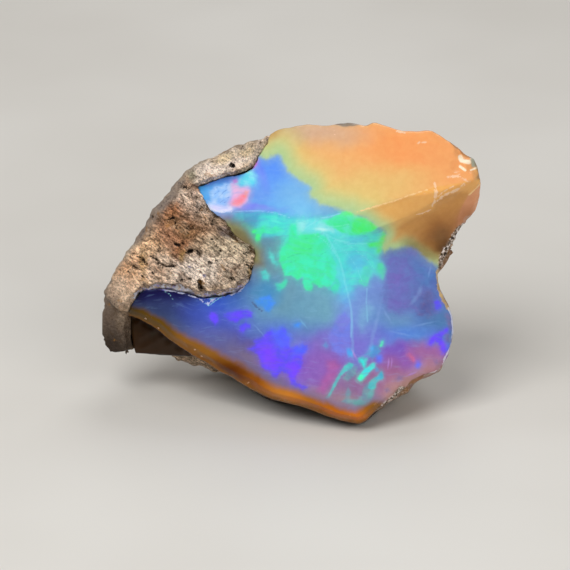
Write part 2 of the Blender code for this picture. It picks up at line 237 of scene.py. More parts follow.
def groundFade(points):
    # 0 where the stone sits on the ground, 1 from a little above it
    lean = math.radians(stone["lean"])
    height = points[:, 1] * math.cos(lean) + points[:, 2] * math.sin(lean) + stone["corner"][2]
    return smoothStep(*stone["footFade"], height)


def surfaceTree(points, mesh):
    return BVHTree.FromPolygons([tuple(p) for p in points],
                                [tuple(f.vertices) for f in mesh.polygons])


def frontAt(tree, u, v):
    # the point that shows at u, v when the face is looked at squarely, or nothing
    return tree.ray_cast(Vector((u, v, stone["above"])), Vector((0, 0, -1)))[0]


def intoRoom(mesh, name, nodeName):
    # back to metres and upright, held inside the solid model's box, and handed to the frame
    mesh.transform(toRoom)
    writePoints(mesh, np.clip(readPoints(mesh), np.array(cadLow), np.array(cadHigh)))
    mesh.shade_smooth()
    mesh.name = name
    piece = placed(name, mesh)
    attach(piece, "root")
    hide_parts(nodeName)
    return piece


def tone(code):
    # linear colour of a hex code
    parts = [int(code[k:k + 2], 16) / 255 for k in (0, 2, 4)]
    return (*[p / 12.92 if p <= 0.04045 else ((p + 0.055) / 1.055) ** 2.4 for p in parts], 1.0)


def newMaterial(name):
    material = bpy.data.materials.new(name)
    material.use_nodes = True
    tree = material.node_tree
    tree.nodes.clear()
    return material, tree


def add(tree, kind, inputs=None, **settings):
    made = tree.nodes.new("ShaderNode" + kind)
    for key, value in settings.items():
        setattr(made, key, value)
    for key, value in (inputs or {}).items():
        socket = made.inputs[key]
        if isinstance(value, bpy.types.NodeSocket):
            tree.links.new(value, socket)
        else:
            socket.default_value = value
    return made


def calc(tree, operation, *values):
    return add(tree, "Math", dict(enumerate(values)), operation=operation).outputs[0]


def vectorCalc(tree, operation, *values):
    return add(tree, "VectorMath", dict(enumerate(values)), operation=operation).outputs[0]


def mixed(tree, factor, a, b, blend="MIX"):
    return add(tree, "Mix", {0: factor, 6: a, 7: b}, data_type="RGBA", blend_type=blend).outputs[2]


def ranged(tree, value, low, high, toLow=0.0, toHigh=1.0):
    return add(tree, "MapRange", {"Value": value, "From Min": low, "From Max": high,
                                  "To Min": toLow, "To Max": toHigh},
               interpolation_type="SMOOTHSTEP").outputs[0]


def tinted(tree, colour, value, tint):
    # a tint is its tone, the values where it sets in and where it is full, and its full strength
    code, low, high, strength = tint
    return mixed(tree, ranged(tree, value, low, high, 0, strength), colour, tone(code))


def cloud(tree, place, layer, output="Fac"):
    size, detail, roughness = layer
    return add(tree, "TexNoise", {"Vector": place, "Scale": 1 / size, "Detail": detail,
                                  "Roughness": roughness}).outputs[output]


def centred(tree, value, strength):
    # an even noise brought to swing about zero
    return calc(tree, "MULTIPLY", calc(tree, "SUBTRACT", value, 0.5), strength)


def meshValue(tree, name):
    return add(tree, "Attribute", attribute_name=name).outputs["Fac"]


def facePlace(tree):
    # position in face millimetres
    lean = math.radians(90 - stone["lean"])
    coords = add(tree, "TexCoord").outputs["Object"]
    return add(tree, "Mapping", {"Vector": coords, "Location": Vector(stone["corner"]) * mm,
                                 "Rotation": (lean, 0, 0), "Scale": (mm, mm, mm)},
               vector_type="TEXTURE").outputs[0]


def flattenedPlace(tree, place):
    parts = add(tree, "SeparateXYZ", {0: place}).outputs
    return add(tree, "CombineXYZ", {"X": parts["X"], "Y": parts["Y"]}).outputs[0]


def stretched(tree, place, turn, scale):
    return add(tree, "Mapping", {"Vector": place, "Rotation": (0, 0, turn),
                                 "Scale": scale}).outputs[0]


def warped(tree, place, layers):
    # the place pushed about sideways by noise; layers are size and push
    for size, push in layers:
        colour = cloud(tree, place, (size, 1.0, 0.5), "Color")
        swing = vectorCalc(tree, "SUBTRACT", colour, (0.5, 0.5, 0.5))
        moved = vectorCalc(tree, "MULTIPLY", swing, (push * 2, push * 2, 0))
        place = vectorCalc(tree, "ADD", place, moved)
    return place


def spotMask(tree, place, u, v, longer, shorter, turn, softness):
    # 1 inside a tilted oval, 0 outside; softness is the share of the radius that it fades over
    oval = add(tree, "TexGradient", {"Vector": place}, gradient_type="SPHERICAL")
    oval.texture_mapping.vector_type = "TEXTURE"
    oval.texture_mapping.translation = (u, v, 0)
    oval.texture_mapping.rotation = (0, 0, math.radians(turn))
    grown = 1 + softness
    oval.texture_mapping.scale = (longer * grown, shorter * grown, 1)
    return ranged(tree, oval.outputs["Fac"], 0, 2 * softness / grown)


def painted(tree, colour, place, spots):
    # lays each tilted oval of colour over the last: colour, strength, softness, ovals
    for code, strength, softness, ovals in spots:
        mask = None
        for oval in ovals:
            one = spotMask(tree, place, *oval, softness)
            mask = one if mask is None else calc(tree, "MAXIMUM", mask, one)
        if strength < 1:
            mask = calc(tree, "MULTIPLY", mask, strength)
        colour = mixed(tree, mask, colour, tone(code))
    return colour


def bumped(tree, height, strength, distance):
    return add(tree, "Bump", {"Strength": strength, "Distance": distance,
                              "Height": height}).outputs[0]


def finished(tree, inputs):
    shader = add(tree, "BsdfPrincipled", inputs)
    add(tree, "OutputMaterial", {"Surface": shader.outputs[0]})


# The opal, with its broken face
opalPiece = {
    "voxel": 0.135,          # size of the even mesh
    "easing": 6,             # rounds
    # edge of the broken face, anticlockwise from its lowest corner
    "outline": [
        (5.3, 0.0), (5.95, 0.2), (6.6, 0.85), (8.0, 1.85), (9.1, 2.75), (9.6, 3.4), (10.7, 3.8),
        (11.8, 4.05), (12.45, 5.25), (12.85, 6.7), (12.87, 8.35), (12.5, 9.4), (11.92, 10.5), (11.62, 11.8),
        (12.2, 12.8), (12.82, 14.0), (13.4, 15.1), (14.0, 16.0), (14.65, 16.7), (14.95, 17.75),
        (15.0, 19.0), (14.8, 20.05), (14.5, 20.8), (13.85, 21.2), (13.0, 21.9), (11.15, 23.05),
        (8.85, 23.05), (7.4, 23.5), (6.55, 23.7), (5.95, 23.4), (4.7, 23.7), (3.0, 23.45), (1.35, 23.6),
        (0.1, 23.3), (-0.95, 23.15), (-1.75, 22.65), (-2.85, 22.2), (-4.5, 21.7), (-5.75, 21.2),
        (-7.4, 20.15), (-8.2, 19.6), (-9.05, 19.0), (-9.9, 17.95), (-10.95, 16.5), (-11.95, 14.65),
        (-12.85, 13.4), (-14.2, 11.6), (-14.7, 10.2), (-14.25, 9.1), (-13.4, 8.6), (-11.95, 8.1),
        (-10.5, 7.35), (-9.3, 6.3), (-7.4, 5.15), (-5.75, 4.2), (-3.6, 2.95), (-1.55, 1.9), (0.1, 1.5),
        (2.2, 0.85), (3.9, 0.25),
    ],
    # its long lower left edge, whose honey colour is brightened by a painted amber glow
    "amberEdge": [
        (-13.9, 8.8), (-11.95, 8.1), (-10.5, 7.35), (-9.3, 6.3), (-7.4, 5.15), (-5.75, 4.2), (-3.6, 2.95),
        (-1.55, 1.9), (0.1, 1.5), (2.2, 0.85), (3.9, 0.25), (5.3, 0.0), (6.6, 0.85),
    ],
    "amberWidth": [(-13.0, 0.9), (-10.5, 1.0), (-8.0, 1.15), (-4.0, 1.45), (0.0, 1.2), (5.0, 1.0)],
    # crest between the upper and the lower facet: u, v, height over the lower one
    "crest": [
        (-9.0, 18.2, 0.0), (-6.5, 17.3, 0.0), (-5.1, 16.6, 0.0), (-2.0, 16.7, 0.0), (0.0, 16.4, 0.0),
        (1.6, 15.8, 0.15), (4.3, 16.0, 0.9), (6.7, 17.1, 2.1), (9.1, 17.8, 3.0), (11.6, 18.2, 3.7),
        (15.0, 19.3, 4.5),
    ],
    "crestFall": 4.2,
    "crestRunOut": 1.4,
    "crestSoftness": 0.16,
    "leftFacet": (0.30, -0.062),     # rise along u and along v
    "rightFacet": (-0.42, -0.175),
    "keelSoftness": 3.6,
    "upperSlope": [(-14.8, 0.29), (14.8, 0.42)],     # at the two ends
    # shell-shaped hollows: u, v, radius, depth
    "hollows": [
        (-5.0, 18.4, 1.5, 0.5), (8.5, 20.9, 3.6, 0.55), (10.0, 14.6, 1.9, 0.6), (-4.0, 7.6, 4.0, 0.35),
        (8.6, 6.4, 3.0, 0.3), (0.2, 20.2, 2.6, 0.25),
    ],
    # a second, lower crest over the brown hollow
    "shelf": [(4.6, 14.4), (6.0, 15.0), (9.6, 16.4), (11.8, 17.7), (14.4, 19.0)],
    "shelfHeight": 0.34,
    "shelfEnds": (4.6, 7.5, 12.5, 14.8),     # u where it starts, is full, fades and ends
    "shelfFalls": (1.3, 0.9, 1.5),           # how far it falls above and below, and its bend
    # curved steps that ran out through the lower facet: line, width, height
    "steps": [
        ([(3.5, 14.8), (4.3, 12.8), (4.7, 9.7), (4.7, 6.1), (4.3, 3.4)], 0.35, 0.07),
        ([(0.6, 9.9), (2.2, 6.5), (2.5, 3.0)], 0.5, 0.04),
        ([(7.6, 10.5), (7.1, 7.3), (6.3, 4.2)], 0.5, 0.05),
        ([(-9.5, 8.6), (-6.0, 6.6), (-2.5, 4.4), (1.5, 2.6)], 0.6, 0.05),
        ([(7.2, 14.2), (8.6, 14.0), (10.2, 13.5), (11.4, 12.8)], 0.4, 0.09),
    ],
    "stepFades": (1.5, 1.0),
    "swell": [(5.0, 0.10), (1.9, 0.03), (0.7, 0.008)],       # size, height
    # placed chips on the rim: u, v, radius, depth
    "bigChips": [
        (13.55, 21.15, 0.75, 0.32), (13.1, 20.2, 0.6, 0.22), (14.4, 20.1, 0.7, 0.3), (5.5, 23.5, 0.9, 0.3),
        (0.9, 23.5, 0.7, 0.25), (11.9, 4.3, 0.6, 0.2), (12.5, 9.3, 0.5, 0.15), (-3.2, 3.5, 0.9, 0.2),
        (-7.6, 5.9, 0.6, 0.15),
    ],
    "rimChipsPerMm": 1.125,
    "rimChipRadius": (0.16, 0.5),
    "rimChipDepth": 0.4,         # over their radius
    "chipInset": 0.99,           # where on the face the chips are looked for
    "chipLowest": -9.0,
    # the face blends into the side: by distance from the rim, by slope, and by depth
    "faceBlend": ((0.25, 0.7), (0.5, 0.75), (0.9, 0.5)),
    "sideLayers": [(1.7, 0.10), (0.6, 0.04)],
    "sideSink": 0.08,
    "deepest": 6.0,              # what the material reads of the depth and of the amber edge
    "hollowRounds": 3,
    "glintReach": 20.0,
    # The play of colour is laid out over the face in millimetres (u, v). Fields are soft tilted
    # ovals: colour, strength, softness, and ovals of u, v, radii and tilt.
    "ground": "6488c4",
    "fields": [
        # lower left, from the dusk above the amber rim up to the navy under the rock; the darkest navy just
        # under its ledge is partly painted shade
        ("6a5f86", 1.0, 0.6, [(-4.2, 5.3, 4.6, 1.7, -30)]),
        ("5c5598", 1.0, 0.7, [(-4.4, 6.6, 3.4, 1.5, -25)]),
        ("465c90", 1.0, 0.7, [(-8.6, 8.0, 4.2, 1.5, -28)]),
        ("5a60a4", 0.8, 0.8, [(-6.3, 7.1, 1.8, 1.0, -25)]),
        ("323f7c", 1.0, 0.6, [(-9.2, 9.2, 3.8, 1.0, -12)]),
        ("2f3a60", 0.8, 0.8, [(-10.8, 9.3, 2.2, 0.9, -25)]),
        ("16144a", 1.0, 0.7, [(-10.0, 10.3, 4.2, 0.8, -4)]),
        ("3858c4", 1.0, 0.7, [(-4.8, 9.7, 2.4, 1.2, 10)]),
        ("3a5aae", 0.9, 0.7, [(-3.4, 11.0, 1.2, 1.3, 0)]),
        ("4a5cc0", 0.8, 0.8, [(-4.6, 8.2, 3.0, 1.0, -8)]),
        ("7a6a80", 0.9, 0.8, [(-2.2, 4.2, 3.0, 1.2, -32)]),
        # middle
        ("5c7cc0", 0.9, 0.7, [(1.2, 7.6, 3.2, 1.4, 0)]),
        ("689ab6", 1.0, 0.7, [(1.2, 9.8, 4.4, 1.9, 4)]),
        ("70a4ba", 0.8, 0.8, [(3.2, 9.4, 1.8, 1.6, 0)]),
        ("6c94a4", 0.9, 0.8, [(-1.0, 12.6, 1.8, 2.6, 0)]),
        ("5c90ac", 0.7, 0.9, [(-1.9, 13.4, 0.8, 1.6, 0)]),
        ("4a90c0", 0.9, 0.8, [(-1.8, 10.6, 1.1, 0.8, 0)]),
        # right lobe and the blue below it
        ("7894da", 1.0, 0.6, [(6.2, 9.0, 2.2, 3.6, 0)]),
        ("6c90cc", 0.9, 0.8, [(7.4, 9.6, 1.8, 1.6, 0)]),
        ("5a84c8", 1.0, 0.6, [(9.2, 7.5, 3.6, 1.5, 0)]),
        ("5888dc", 0.8, 0.8, [(8.4, 6.9, 2.0, 0.7, 0)]),
        ("6c9cc4", 0.8, 0.8, [(8.4, 8.2, 1.4, 0.8, 0)]),
        ("4c7cac", 0.9, 0.7, [(11.6, 8.1, 1.2, 1.0, 0)]),
        # bottom
        ("7c70d0", 0.9, 0.8, [(4.6, 6.3, 2.8, 1.3, 0)]),
        ("8a62b8", 1.0, 0.6, [(2.2, 4.4, 2.6, 2.2, 0)]),
        ("8658ba", 1.0, 0.4, [(8.8, 4.7, 2.7, 1.4, 6)]),
        ("7c5cc0", 0.9, 0.7, [(8.0, 5.7, 1.6, 0.5, 0)]),
        ("8f6a96", 1.0, 0.7, [(5.4, 3.0, 2.8, 1.3, 10)]),
        ("a0668e", 0.9, 0.8, [(7.6, 3.6, 1.4, 1.4, 0)]),
        ("a0689c", 1.0, 0.6, [(11.0, 5.3, 1.6, 1.0, 0)]),
        ("b0808c", 1.0, 0.7, [(9.9, 3.3, 3.6, 1.0, 28)]),
        ("b48c7c", 0.9, 0.8, [(7.9, 1.9, 2.4, 0.7, 34)]),
        ("a07e88", 0.9, 0.8, [(3.6, 1.7, 4.4, 0.75, -10)]),
        # above the crest, left of the peach
        ("68a4ea", 1.0, 0.35, [(-0.6, 18.4, 3.4, 2.6, -10)]),
        ("5a90f0", 0.9, 0.6, [(-1.6, 19.8, 1.5, 1.4, 0)]),
        ("7088f0", 0.9, 0.8, [(-2.2, 19.6, 0.4, 1.0, 10)]),
        ("78b4e2", 0.9, 0.8, [(1.2, 17.4, 2.4, 1.0, -28)]),
        ("78bce8", 0.8, 0.8, [(0.6, 16.9, 1.6, 0.6, -20)]),
        ("7c84ec", 1.0, 0.7, [(-3.0, 16.9, 1.9, 0.35, -2)]),
        ("6c98e8", 0.8, 0.9, [(-2.6, 18.2, 0.7, 0.9, 0)]),
    ],
    # patches: tone, second tone that drifts into it, strength, softness and raggedness of the
    # edge in millimetres, and the outlines
    "patches": {
        "underCrest": ("4a9ccc", "52b8d4", 1.0, 0.14, 0.10, [[
            (-6.4, 16.9), (-5.9, 16.62), (-5.0, 16.52), (-4.0, 16.6), (-2.6, 16.66), (-1.5, 16.55),
            (-0.8, 16.35), (0.0, 16.1), (0.8, 16.0), (0.6, 15.0), (-1.5, 14.6), (-4.0, 14.5),
            (-5.4, 15.4)]]),
        "mauveCorner": ("6a6cbc", "7a78c8", 0.9, 0.25, 0.10, [[
            (-6.0, 16.6), (-5.2, 16.5), (-4.5, 16.3), (-4.7, 16.0), (-5.2, 15.8)]]),
        # olive tint beside the rock, darkened as painted shade under the rock's raised edge
        "oliveShade": ("888354", "7e7049", 1.0, 0.55, 0.06, [[
            (-5.8, 16.0), (-4.9, 16.1), (-3.9, 15.75), (-3.2, 15.2), (-2.75, 14.3), (-2.2, 13.6),
            (-2.1, 12.4), (-3.6, 12.0), (-5.0, 13.4), (-7.0, 15.0)]]),
        "mossEdge": ("5cac82", "62b894", 0.6, 0.3, 0.10, [[
            (-3.7, 15.75), (-2.9, 15.4), (-2.5, 14.7), (-2.3, 13.9), (-2.6, 14.1), (-3.0, 15.0),
            (-3.7, 15.5)]]),
        "turquoise": ("52d6d6", "56e0d2", 1.0, 0.35, 0.30, [[
            (-2.2, 16.35), (-1.2, 16.45), (0.3, 16.1), (1.2, 16.1), (2.4, 16.1), (3.2, 16.2), (4.0, 16.45),
            (5.2, 16.1), (6.4, 15.4), (7.5, 14.9), (7.4, 13.6), (7.0, 13.0), (7.3, 12.3), (7.1, 11.6),
            (6.5, 11.7), (5.9, 11.3), (5.2, 10.9), (4.6, 10.3), (4.0, 10.2), (3.4, 10.6), (2.8, 10.9),
            (1.0, 11.4), (-0.3, 12.0), (-0.9, 13.2), (-0.5, 14.4), (-1.4, 15.2), (-2.6, 15.4)]]),
        "paleWater": ("7ae0ec", "a0e4f0", 0.85, 0.4, 0.25, [[
            (0.5, 15.8), (1.4, 15.9), (2.6, 15.7), (3.6, 15.4), (4.6, 15.5), (4.0, 14.9), (2.4, 14.9),
            (1.2, 14.9), (0.7, 15.2)]]),
        "skyPools": ("60b4ec", "68c4ec", 0.55, 0.4, 0.35, [
            [(4.4, 13.3), (5.0, 13.4), (5.8, 13.2), (6.0, 12.4), (5.5, 11.8), (4.8, 11.9), (4.3, 12.6)],
            [(4.4, 14.5), (5.6, 14.6), (5.8, 14.25), (4.6, 14.15)],
            [(3.6, 12.6), (4.1, 12.3), (4.5, 11.2), (5.0, 10.2), (4.4, 9.2), (3.8, 9.8), (3.75, 11.0),
             (3.55, 11.8)]]),
        "greenCore": ("48e49e", "46e8bc", 1.0, 0.10, 0.20, [[
            (-0.05, 14.9), (0.05, 15.6), (0.45, 15.65), (0.55, 14.7), (0.9, 14.8), (1.6, 14.8), (2.3, 14.9),
            (2.9, 14.5), (3.2, 14.0), (3.2, 13.3), (3.6, 12.5), (3.65, 11.8), (3.45, 11.1), (3.1, 10.72),
            (2.6, 10.78), (2.2, 10.68), (1.98, 11.0), (1.78, 11.0), (1.72, 10.55), (1.5, 10.38),
            (1.25, 10.45), (1.08, 10.85), (0.95, 11.0), (1.08, 11.4), (0.95, 11.55), (0.8, 11.35),
            (0.55, 11.15), (0.35, 11.45), (0.1, 11.6), (-0.4, 11.6), (-0.6, 12.0), (-0.65, 12.4),
            (-0.88, 12.7), (-0.78, 13.2), (-0.78, 13.6), (-0.4, 14.0), (-0.08, 14.3)]]),
        "greenHeart": ("4ce68a", "50e480", 0.7, 0.6, 0.3, [[
            (0.1, 14.4), (1.0, 14.7), (1.9, 14.5), (2.0, 13.7), (1.2, 13.1), (0.2, 13.4), (-0.3, 13.8)]]),
        "coreMerge": ("50dcd0", "5cd8d8", 0.85, 0.5, 0.3, [[
            (2.9, 14.8), (3.5, 14.4), (4.6, 14.3), (4.2, 12.6), (3.9, 11.6), (3.5, 12.0), (3.3, 13.0),
            (2.8, 13.9)]]),
        "drops": ("48deb0", "50ccc8", 0.85, 0.12, 0.10, [
            [(-0.3, 11.35), (-0.15, 11.2), (-0.45, 10.65), (-0.8, 10.38), (-1.08, 10.5), (-1.1, 10.95),
             (-0.7, 11.0)],
            [(3.1, 10.5), (3.45, 10.22), (3.72, 10.4), (3.9, 10.95), (3.6, 11.5), (3.3, 10.9)]]),
        "leftArm": ("48eaa0", "4ce6b8", 1.0, 0.12, 0.18, [
            [(-2.95, 15.15), (-2.4, 15.3), (-2.0, 15.5), (-1.5, 15.35), (-1.0, 15.45), (-0.6, 15.2),
             (-1.3, 14.85), (-2.1, 14.9), (-2.35, 14.45), (-2.65, 14.35), (-2.7, 14.85)]]),
        "turquoiseStreaks": ("4adcd0", "5ce4d8", 0.7, 0.14, 0.2, [
            [(-1.95, 16.35), (-1.3, 16.2), (-0.7, 15.9), (-0.2, 15.7), (-0.35, 15.35), (-0.9, 15.3),
             (-1.6, 15.8)],
            [(-1.6, 13.6), (-1.3, 13.2), (-1.15, 12.8), (-0.8, 12.5), (-1.05, 12.3), (-1.45, 12.7),
             (-1.65, 13.1)],
            [(-2.3, 11.95), (-1.9, 12.1), (-1.6, 11.6), (-1.7, 11.2), (-2.1, 11.3)]]),
        "greenSparks": ("4aec88", "52ee80", 0.9, 0.08, 0.05, [
            [(-3.0, 15.05), (-2.85, 15.2), (-2.62, 15.15), (-2.65, 14.98), (-2.9, 14.93)],
            [(-2.68, 14.9), (-2.4, 14.85), (-2.3, 14.6), (-2.45, 14.35), (-2.66, 14.42)],
            [(6.9, 12.5), (7.2, 12.6), (7.35, 12.3), (7.2, 12.05), (6.9, 12.1)]]),
        "greenLobe": ("4ae69a", "5ae6be", 1.0, 0.10, 0.14, [[
            (2.55, 15.9), (3.2, 16.12), (3.8, 16.38), (4.3, 16.62), (4.75, 16.6), (5.1, 16.35), (5.6, 16.2),
            (6.0, 16.05), (6.4, 15.75), (6.85, 15.4), (6.6, 15.15), (6.2, 14.9), (5.5, 14.82), (4.8, 14.75),
            (4.0, 14.95), (3.6, 15.25), (2.9, 15.5)]]),
        "vividGreen": ("50ea68", "4cec80", 1.0, 0.16, 0.12, [
            [(4.9, 15.9), (5.5, 16.2), (6.0, 16.05), (6.4, 15.75), (6.85, 15.4), (6.4, 15.05), (5.4, 14.9),
             (4.8, 15.1)],
            [(4.1, 16.5), (4.4, 16.65), (4.85, 16.55), (4.9, 16.3), (4.4, 16.3)],
            [(6.9, 14.3), (7.3, 15.0), (7.6, 14.8), (7.45, 14.3), (7.35, 13.9), (7.05, 13.4), (6.8, 13.4),
             (6.75, 13.8), (6.2, 13.85), (6.05, 14.1), (6.5, 14.2)]]),
        "spikes": ("50e4b0", "58d0c8", 0.85, 0.12, 0.16, [
            [(5.35, 11.15), (5.75, 10.75), (6.08, 10.85), (6.2, 11.5), (6.35, 11.9), (6.2, 12.4),
             (5.75, 12.3), (5.6, 11.6)],
            [(6.7, 12.1), (7.05, 11.45), (7.28, 11.25), (7.45, 11.7), (7.6, 12.1), (7.3, 12.5),
             (6.9, 12.5)]]),
        "brightBlue": ("4690f8", "4a94e8", 0.9, 0.16, 0.16, [
            [(-2.75, 9.7), (-2.2, 9.9), (-1.6, 10.1), (-1.35, 9.75), (-1.12, 9.5), (-1.4, 9.1),
             (-1.6, 8.72), (-1.9, 8.85), (-2.1, 9.15), (-2.6, 9.35)],
            [(0.3, 7.8), (0.55, 7.95), (0.85, 7.85), (0.7, 7.6), (0.35, 7.6)]]),
        "magenta": ("b060a4", "a65c9c", 0.85, 0.30, 0.15, [[
            (2.9, 4.95), (3.5, 5.0), (3.9, 4.6), (3.6, 3.9), (3.1, 3.1), (2.6, 2.4), (2.1, 2.6), (2.5, 3.4),
            (2.9, 4.1)]]),
        "periwinkle": ("7282e4", "7a7cdc", 0.85, 0.22, 0.15, [[
            (3.0, 6.8), (3.3, 7.5), (3.7, 8.4), (4.3, 8.8), (4.75, 8.2), (4.7, 7.0), (4.7, 5.8), (4.0, 5.3),
            (3.3, 5.8)]]),
        "lobe": ("6a70ba", "6478b8", 0.95, 0.35, 0.34, [[
            (7.1, 13.1), (7.3, 13.45), (7.7, 13.75), (8.2, 13.7), (8.6, 13.75), (9.1, 13.9), (9.6, 13.8),
            (10.0, 13.55), (10.4, 13.15), (10.9, 12.75), (11.4, 12.5), (12.0, 12.2), (12.2, 9.5),
            (11.6, 8.7), (10.2, 8.5), (9.4, 8.9), (8.6, 8.5), (7.6, 8.9), (7.2, 10.0), (7.5, 11.2),
            (7.6, 12.4)]]),
        "lobeBlue": ("4a74b4", "4c80bc", 0.75, 0.9, 0.3, [[
            (9.8, 12.6), (10.6, 12.7), (12.0, 12.3), (12.0, 10.6), (10.6, 10.4), (10.0, 11.2)]]),
        "lobeViolet": ("7a68bc", "7870c4", 0.75, 0.9, 0.3, [[
            (8.0, 12.2), (9.0, 12.4), (9.0, 11.0), (8.9, 9.4), (8.0, 9.4), (7.8, 10.8)]]),
        "duskPatch": ("6a5a86", "50589a", 0.75, 0.45, 0.45, [[
            (10.1, 9.0), (10.2, 9.9), (10.9, 10.3), (11.4, 9.8), (11.3, 8.9), (10.8, 8.5), (10.1, 8.5)]]),
        "violet": ("6a4cfc", "5c54f0", 0.95, 0.13, 0.20, [
            [(-1.9, 7.2), (-1.5, 7.35), (-1.2, 7.1), (-0.9, 7.2), (-0.6, 7.5), (-0.35, 7.4), (-0.3, 7.0),
             (-0.1, 6.8), (-0.02, 6.4), (-0.15, 6.1), (0.2, 5.85), (0.55, 6.1), (0.9, 6.0), (1.3, 6.15),
             (1.3, 5.75), (0.9, 5.5), (1.0, 5.0), (0.88, 4.5), (0.6, 4.1), (0.35, 3.6), (0.5, 3.3),
             (1.35, 2.9), (1.0, 2.7), (0.35, 2.95), (0.05, 3.2), (-0.1, 3.9), (-0.6, 4.1), (-0.9, 3.9),
             (-1.05, 3.6), (-1.35, 3.65), (-1.5, 4.0), (-2.2, 4.4), (-2.3, 4.9), (-2.5, 5.5), (-3.3, 5.85),
             (-2.7, 6.15), (-2.85, 6.5), (-2.2, 6.8)],
            [(-6.4, 8.4), (-6.15, 8.72), (-5.85, 8.7), (-5.6, 8.35), (-5.62, 8.0), (-5.85, 7.75),
             (-6.1, 8.0)],
            [(-5.2, 8.5), (-4.9, 8.7), (-4.2, 8.9), (-3.4, 8.95), (-2.95, 8.7), (-3.0, 8.3), (-3.8, 8.2),
             (-4.2, 7.95), (-4.7, 8.1)],
            [(-3.95, 7.7), (-3.5, 7.95), (-3.1, 7.8), (-3.1, 7.5), (-3.45, 7.4), (-3.7, 7.15),
             (-3.95, 7.3)],
            [(10.8, 6.2), (11.0, 6.72), (11.35, 7.05), (11.9, 7.25), (12.28, 7.55), (12.45, 7.5),
             (12.4, 7.15), (12.05, 6.95), (11.93, 6.65), (12.14, 6.24), (12.3, 5.75), (12.1, 5.48),
             (11.86, 5.6), (11.82, 5.96), (11.62, 6.32), (11.35, 6.5), (11.08, 6.16)],
            [(11.32, 9.6), (11.55, 9.72), (11.82, 9.5), (11.86, 9.2), (11.7, 8.92), (11.4, 8.98)]]),
        "violetBlue": ("5668ff", "566cf8", 0.9, 0.3, 0.25, [
            [(-1.5, 7.3), (-0.6, 7.6), (0.0, 7.0), (0.0, 6.2), (-0.6, 5.9), (-1.1, 6.3)],
            [(0.2, 6.0), (1.0, 6.3), (1.35, 5.9), (1.0, 5.5), (0.3, 5.4)]]),
        "hotViolet": ("8048ff", "7848ff", 0.75, 0.35, 0.2, [
            [(-2.3, 5.9), (-1.4, 6.1), (-1.1, 5.2), (-1.2, 4.2), (-1.9, 4.4), (-2.3, 5.0)],
            [(-0.2, 4.6), (0.4, 4.8), (0.7, 4.4), (0.4, 3.6), (0.1, 3.4)],
            [(10.9, 6.3), (11.1, 6.7), (11.5, 7.0), (11.7, 6.7), (11.3, 6.5)],
            [(11.85, 6.3), (12.1, 6.3), (12.25, 5.75), (11.95, 5.6)]]),
        "yellowGreen": ("a4c854", "8ccc58", 0.9, 0.25, 0.15, [[
            (7.4, 14.5), (7.9, 14.7), (8.5, 14.55), (8.9, 14.3), (8.3, 14.05), (7.7, 13.95), (7.3, 14.0)]]),
        "veil": ("6496ac", "6aa8ac", 0.75, 0.14, 0.14, [
            [(4.0, 1.8), (4.25, 2.1), (4.5, 2.9), (4.75, 2.5), (4.6, 2.0), (5.2, 1.95), (5.55, 2.2),
             (5.75, 2.9), (6.0, 3.2), (6.6, 2.8), (6.45, 2.1), (6.15, 1.6), (5.9, 1.35), (5.3, 1.45),
             (4.6, 1.6)],
            [(4.1, 3.6), (4.6, 4.3), (5.2, 4.5), (5.1, 3.9), (4.5, 3.4)]]),
        "veilLight": ("62b4a8", "68b0b0", 0.8, 0.12, 0.10, [
            [(4.85, 1.75), (5.4, 1.95), (5.9, 1.7), (5.75, 1.45), (5.1, 1.5)],
            [(6.1, 2.6), (6.5, 2.6), (6.35, 2.1), (6.05, 2.0)]]),
        "deepWater": ("4c98d0", "50a6d0", 0.85, 0.16, 0.22, [
            [(6.15, 5.8), (6.4, 6.15), (6.9, 6.1), (7.05, 5.75), (6.9, 5.4), (6.4, 5.15), (5.9, 5.45)],
            [(6.6, 4.5), (6.85, 4.4), (6.95, 4.15), (6.7, 4.1)],
            [(2.55, 6.2), (2.8, 6.35), (3.05, 6.15), (2.85, 6.0)]]),
        "skyShard": ("4cb2f0", "54a8ec", 0.9, 0.13, 0.16, [
            [(4.4, 5.95), (4.75, 6.0), (4.95, 5.75), (4.85, 5.3), (4.6, 5.25), (4.45, 5.5)],
            [(6.25, 6.0), (6.45, 6.1), (6.5, 5.8), (6.3, 5.75)]]),
        "seafoam": ("4cbcc4", "54ccc8", 0.92, 0.08, 0.13, [
            [(4.95, 4.7), (4.6, 4.85), (4.3, 4.65), (4.05, 4.3), (3.75, 3.85), (3.5, 3.4), (3.25, 2.85),
             (2.95, 2.3), (2.8, 2.1), (3.0, 2.1), (3.2, 2.4), (3.45, 2.9), (3.72, 3.4), (3.95, 3.75),
             (4.35, 4.15), (4.8, 4.35)],
            [(7.1, 4.2), (7.22, 3.95), (7.32, 3.6), (6.95, 3.45), (6.7, 3.2), (6.6, 2.75), (6.3, 2.7),
             (6.05, 2.9), (6.15, 3.3), (6.45, 3.55), (6.85, 3.8)],
            [(5.25, 5.15), (5.6, 5.28), (6.05, 5.2), (5.97, 4.9), (5.95, 4.45), (5.75, 4.35), (5.55, 4.7),
             (5.35, 4.95)]]),
        "aquaBlue": ("48a8d0", "4cb0d4", 0.85, 0.14, 0.06, [
            [(6.6, 3.5), (6.9, 3.85), (7.15, 4.15), (7.25, 3.75), (7.2, 3.5)]]),
        "brightAqua": ("44e0e4", "46e8d8", 0.95, 0.08, 0.15, [
            [(6.15, 4.6), (6.5, 4.82), (6.68, 4.75), (6.6, 4.45), (6.3, 4.2), (6.1, 3.95), (5.8, 3.7),
             (5.6, 3.45), (5.3, 3.4), (5.2, 3.5), (5.5, 4.0), (5.85, 4.4)],
            [(5.45, 5.1), (5.7, 5.1), (5.85, 4.7), (5.75, 4.5)]]),
        "aquaTip": ("4ef8b4", "4af0c0", 0.95, 0.12, 0.10, [
            [(5.3, 3.6), (5.45, 3.9), (5.7, 3.9), (5.7, 3.6), (5.45, 3.42)],
            [(7.0, 6.08), (7.1, 6.4), (7.28, 6.5), (7.25, 6.25), (7.1, 6.05)]]),
